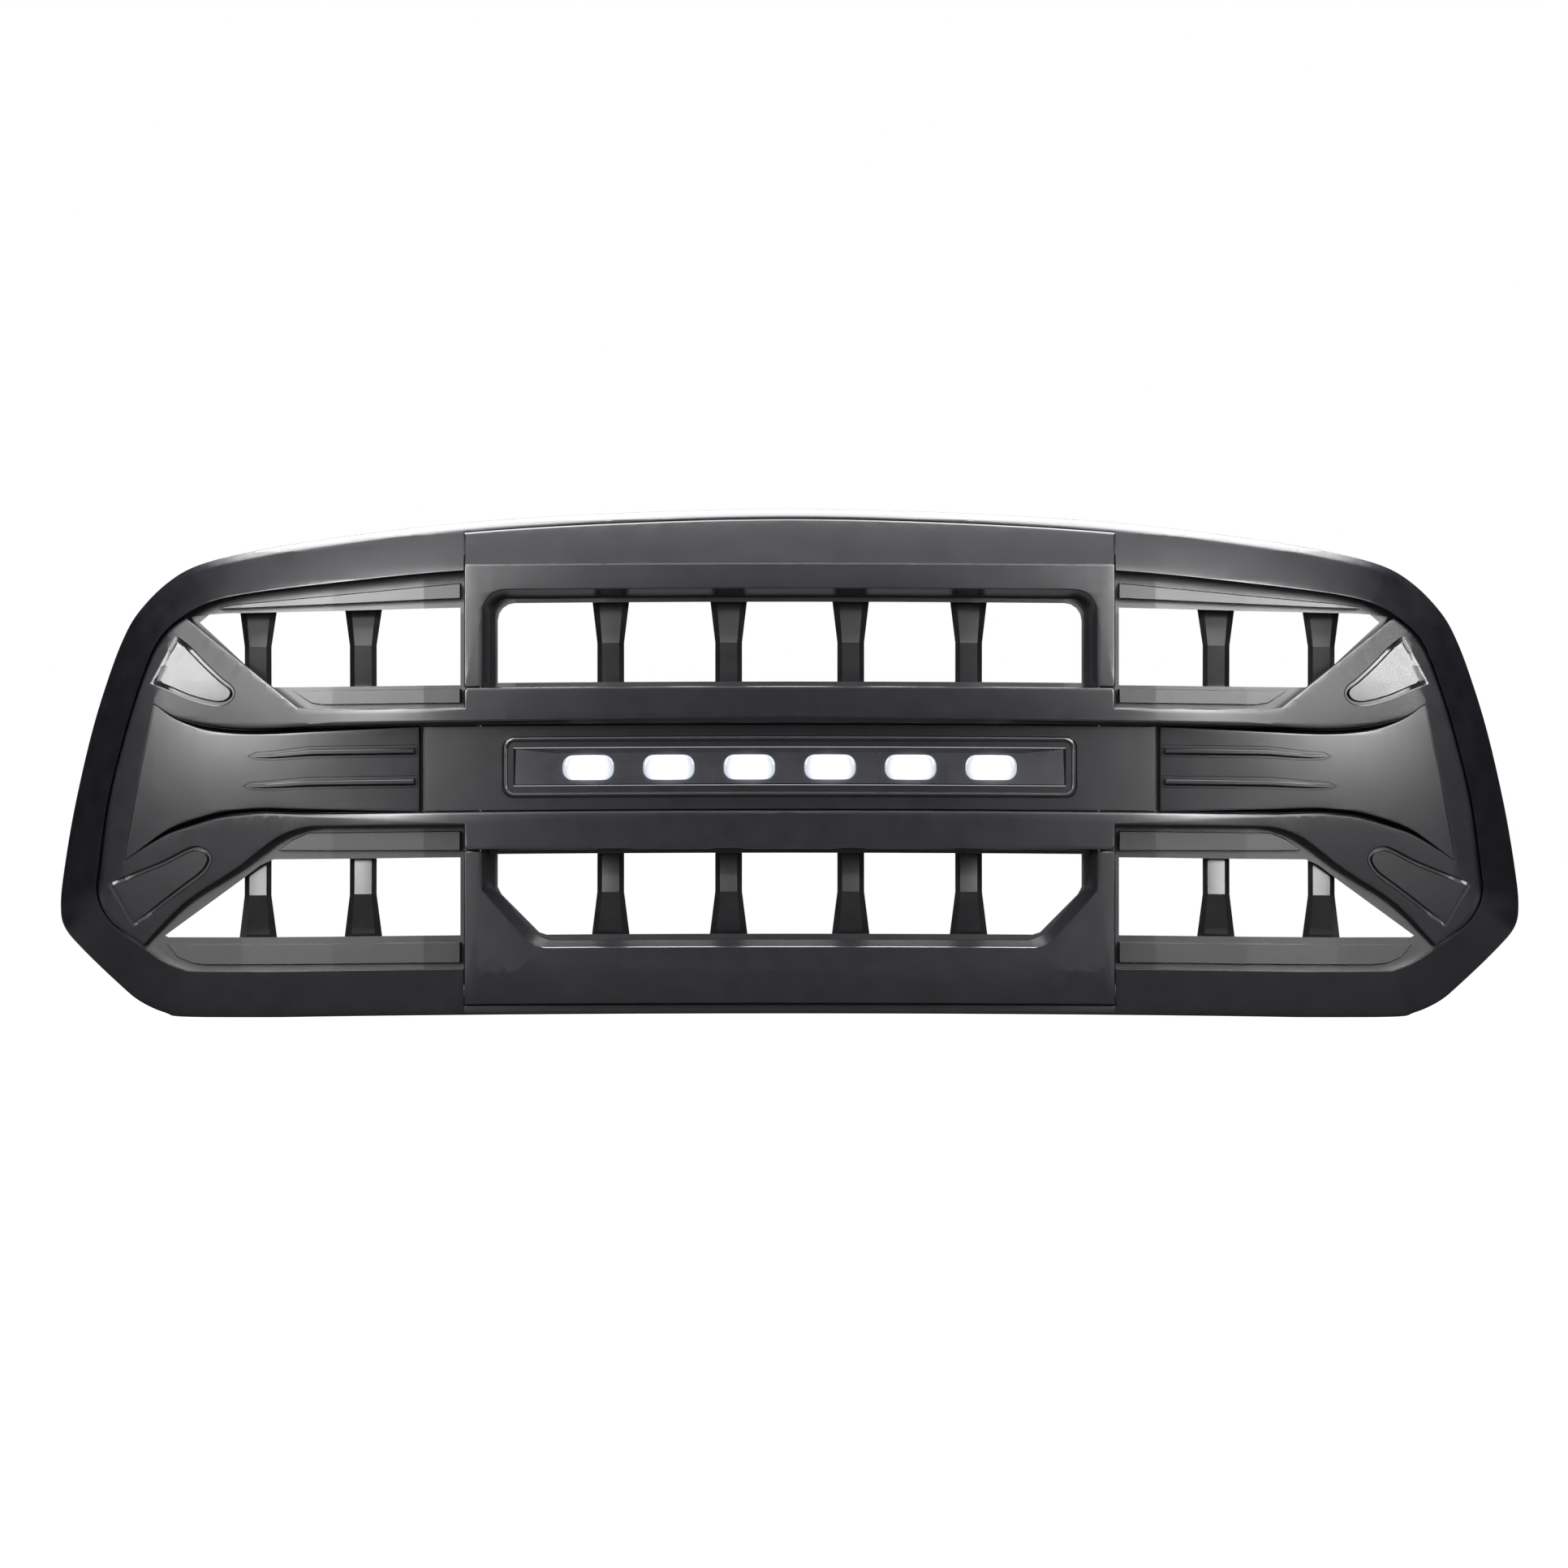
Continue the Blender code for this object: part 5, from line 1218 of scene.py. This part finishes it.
def fixings():
    screw_heads("frame_screw_heads", FRAME_SCREWS, FRAME_BACK)
    bracket_face = FRAME_BACK + SEAT_GAP + BRACKET_THICK
    screw_heads("bracket_screw_heads", BRACKET_SCREWS, bracket_face)


# ---- studio


def floor():
    """A dark floor that only the camera sees as white."""
    bm = bmesh.new()
    bmesh.ops.create_grid(bm, x_segments=2, y_segments=2, size=40)
    mesh = bpy.data.meshes.new("studio_floor")
    bm.to_mesh(mesh)
    bm.free()
    plane = bpy.data.objects.new("studio_floor", mesh)
    bpy.context.scene.collection.objects.link(plane)
    pale = bpy.data.materials.new("pale_floor")
    pale.use_nodes = True
    tree = pale.node_tree
    shader = tree.nodes["Principled BSDF"]
    shader.inputs["Base Color"].default_value = (0.05, 0.05, 0.05, 1)
    shader.inputs["Roughness"].default_value = 0.9
    shader.inputs["Emission Color"].default_value = (1, 1, 1, 1)
    path = tree.nodes.new("ShaderNodeLightPath")
    tree.links.new(path.outputs["Is Camera Ray"], shader.inputs["Emission Strength"])
    mesh.materials.append(pale)


def softbox(name, place, size, radiance):
    data = bpy.data.lights.new(name, "AREA")
    data.shape = "RECTANGLE"
    data.size, data.size_y = size
    data.energy = radiance * math.pi * size[0] * size[1]
    lamp = bpy.data.objects.new(name, data)
    lamp.location = place
    aim = Vector(MIDDLE) - Vector(place)
    lamp.rotation_euler = aim.to_track_quat("-Z", "Y").to_euler()
    lamp.visible_camera = False
    bpy.context.scene.collection.objects.link(lamp)


def studio_world():
    """White to look at; for the light it gives, soft in front, dim at the sides."""
    world = bpy.data.worlds.new("studio")
    bpy.context.scene.world = world
    world.use_nodes = True
    tree = world.node_tree
    nodes, links = tree.nodes, tree.links
    place = nodes.new("ShaderNodeTexCoord")
    split = nodes.new("ShaderNodeSeparateXYZ")
    shift = nodes.new("ShaderNodeMapRange")
    shift.inputs["From Min"].default_value = -1
    ramp = nodes.new("ShaderNodeValToRGB")
    stops = [(0.0, 0.20), (0.06, 0.16), (0.30, 0.03), (0.45, 0.01)]
    stops += [(0.60, 0.01), (0.80, 0.04), (1.0, 0.10)]
    ramp.color_ramp.elements[0].position = stops[0][0]
    ramp.color_ramp.elements[1].position = stops[-1][0]
    for position, value in stops[1:-1]:
        ramp.color_ramp.elements.new(position)
    for element, (position, value) in zip(ramp.color_ramp.elements, stops):
        element.color = (value, value, value, 1)
    links.new(place.outputs["Generated"], split.inputs["Vector"])
    links.new(split.outputs["Y"], shift.inputs["Value"])
    links.new(shift.outputs["Result"], ramp.inputs["Fac"])
    light = nodes["Background"]
    links.new(ramp.outputs["Color"], light.inputs["Color"])
    white = nodes.new("ShaderNodeBackground")
    white.inputs["Color"].default_value = (1, 1, 1, 1)
    path = nodes.new("ShaderNodeLightPath")
    mix = nodes.new("ShaderNodeMixShader")
    links.new(path.outputs["Is Camera Ray"], mix.inputs["Fac"])
    links.new(light.outputs["Background"], mix.inputs[1])
    links.new(white.outputs["Background"], mix.inputs[2])
    links.new(mix.outputs["Shader"], nodes["World Output"].inputs["Surface"])


def camera():
    """Straight in front, from far away."""
    data = bpy.data.cameras.new("front_camera")
    eye = bpy.data.objects.new("front_camera", data)
    bpy.context.scene.collection.objects.link(eye)
    distance, view_width, sensor = 20.0, 1.3310, 36
    middle_x, middle_z = -0.0048, 0.1979
    data.sensor_width = sensor
    data.lens = sensor * distance / view_width
    data.clip_start, data.clip_end = 1.0, 120.0
    eye.location = (middle_x, -distance, middle_z)
    eye.rotation_euler = (math.pi / 2, 0, 0)
    bpy.context.scene.camera = eye


MIDDLE = (0, 0, 0.2)  # what the lights are aimed at


def around(azimuth, elevation, distance):
    """A place round the grille: azimuth 0 is in front, in degrees."""
    turn, rise = math.radians(azimuth), math.radians(elevation)
    flat = distance * math.cos(rise)
    return (flat * math.sin(turn), -flat * math.cos(turn), MIDDLE[2] + distance * math.sin(rise))


def studio():
    floor()
    studio_world()
    for side in (1, -1):
        softbox("side_strip", around(side * 32, 20, 3.2), (0.34, 2.0), 50)
    softbox("brow_strip", around(0, 33, 3.0), (2.6, 0.22), 13)
    softbox("overhead_box", around(0, 85, 2.2), (2.6, 2.0), 14)
    softbox("back_box", around(180, 62, 3.0), (2.6, 1.0), 26)
    camera()
    bpy.context.scene.view_settings.view_transform = "Standard"


studio()
dress_frame()
surround_frame()
upper_bezel()
lower_bezel()
crossbar()
wing_inserts()
light_panel()
light_bezel()
light_cover()
lenses()
slats()
fixings()
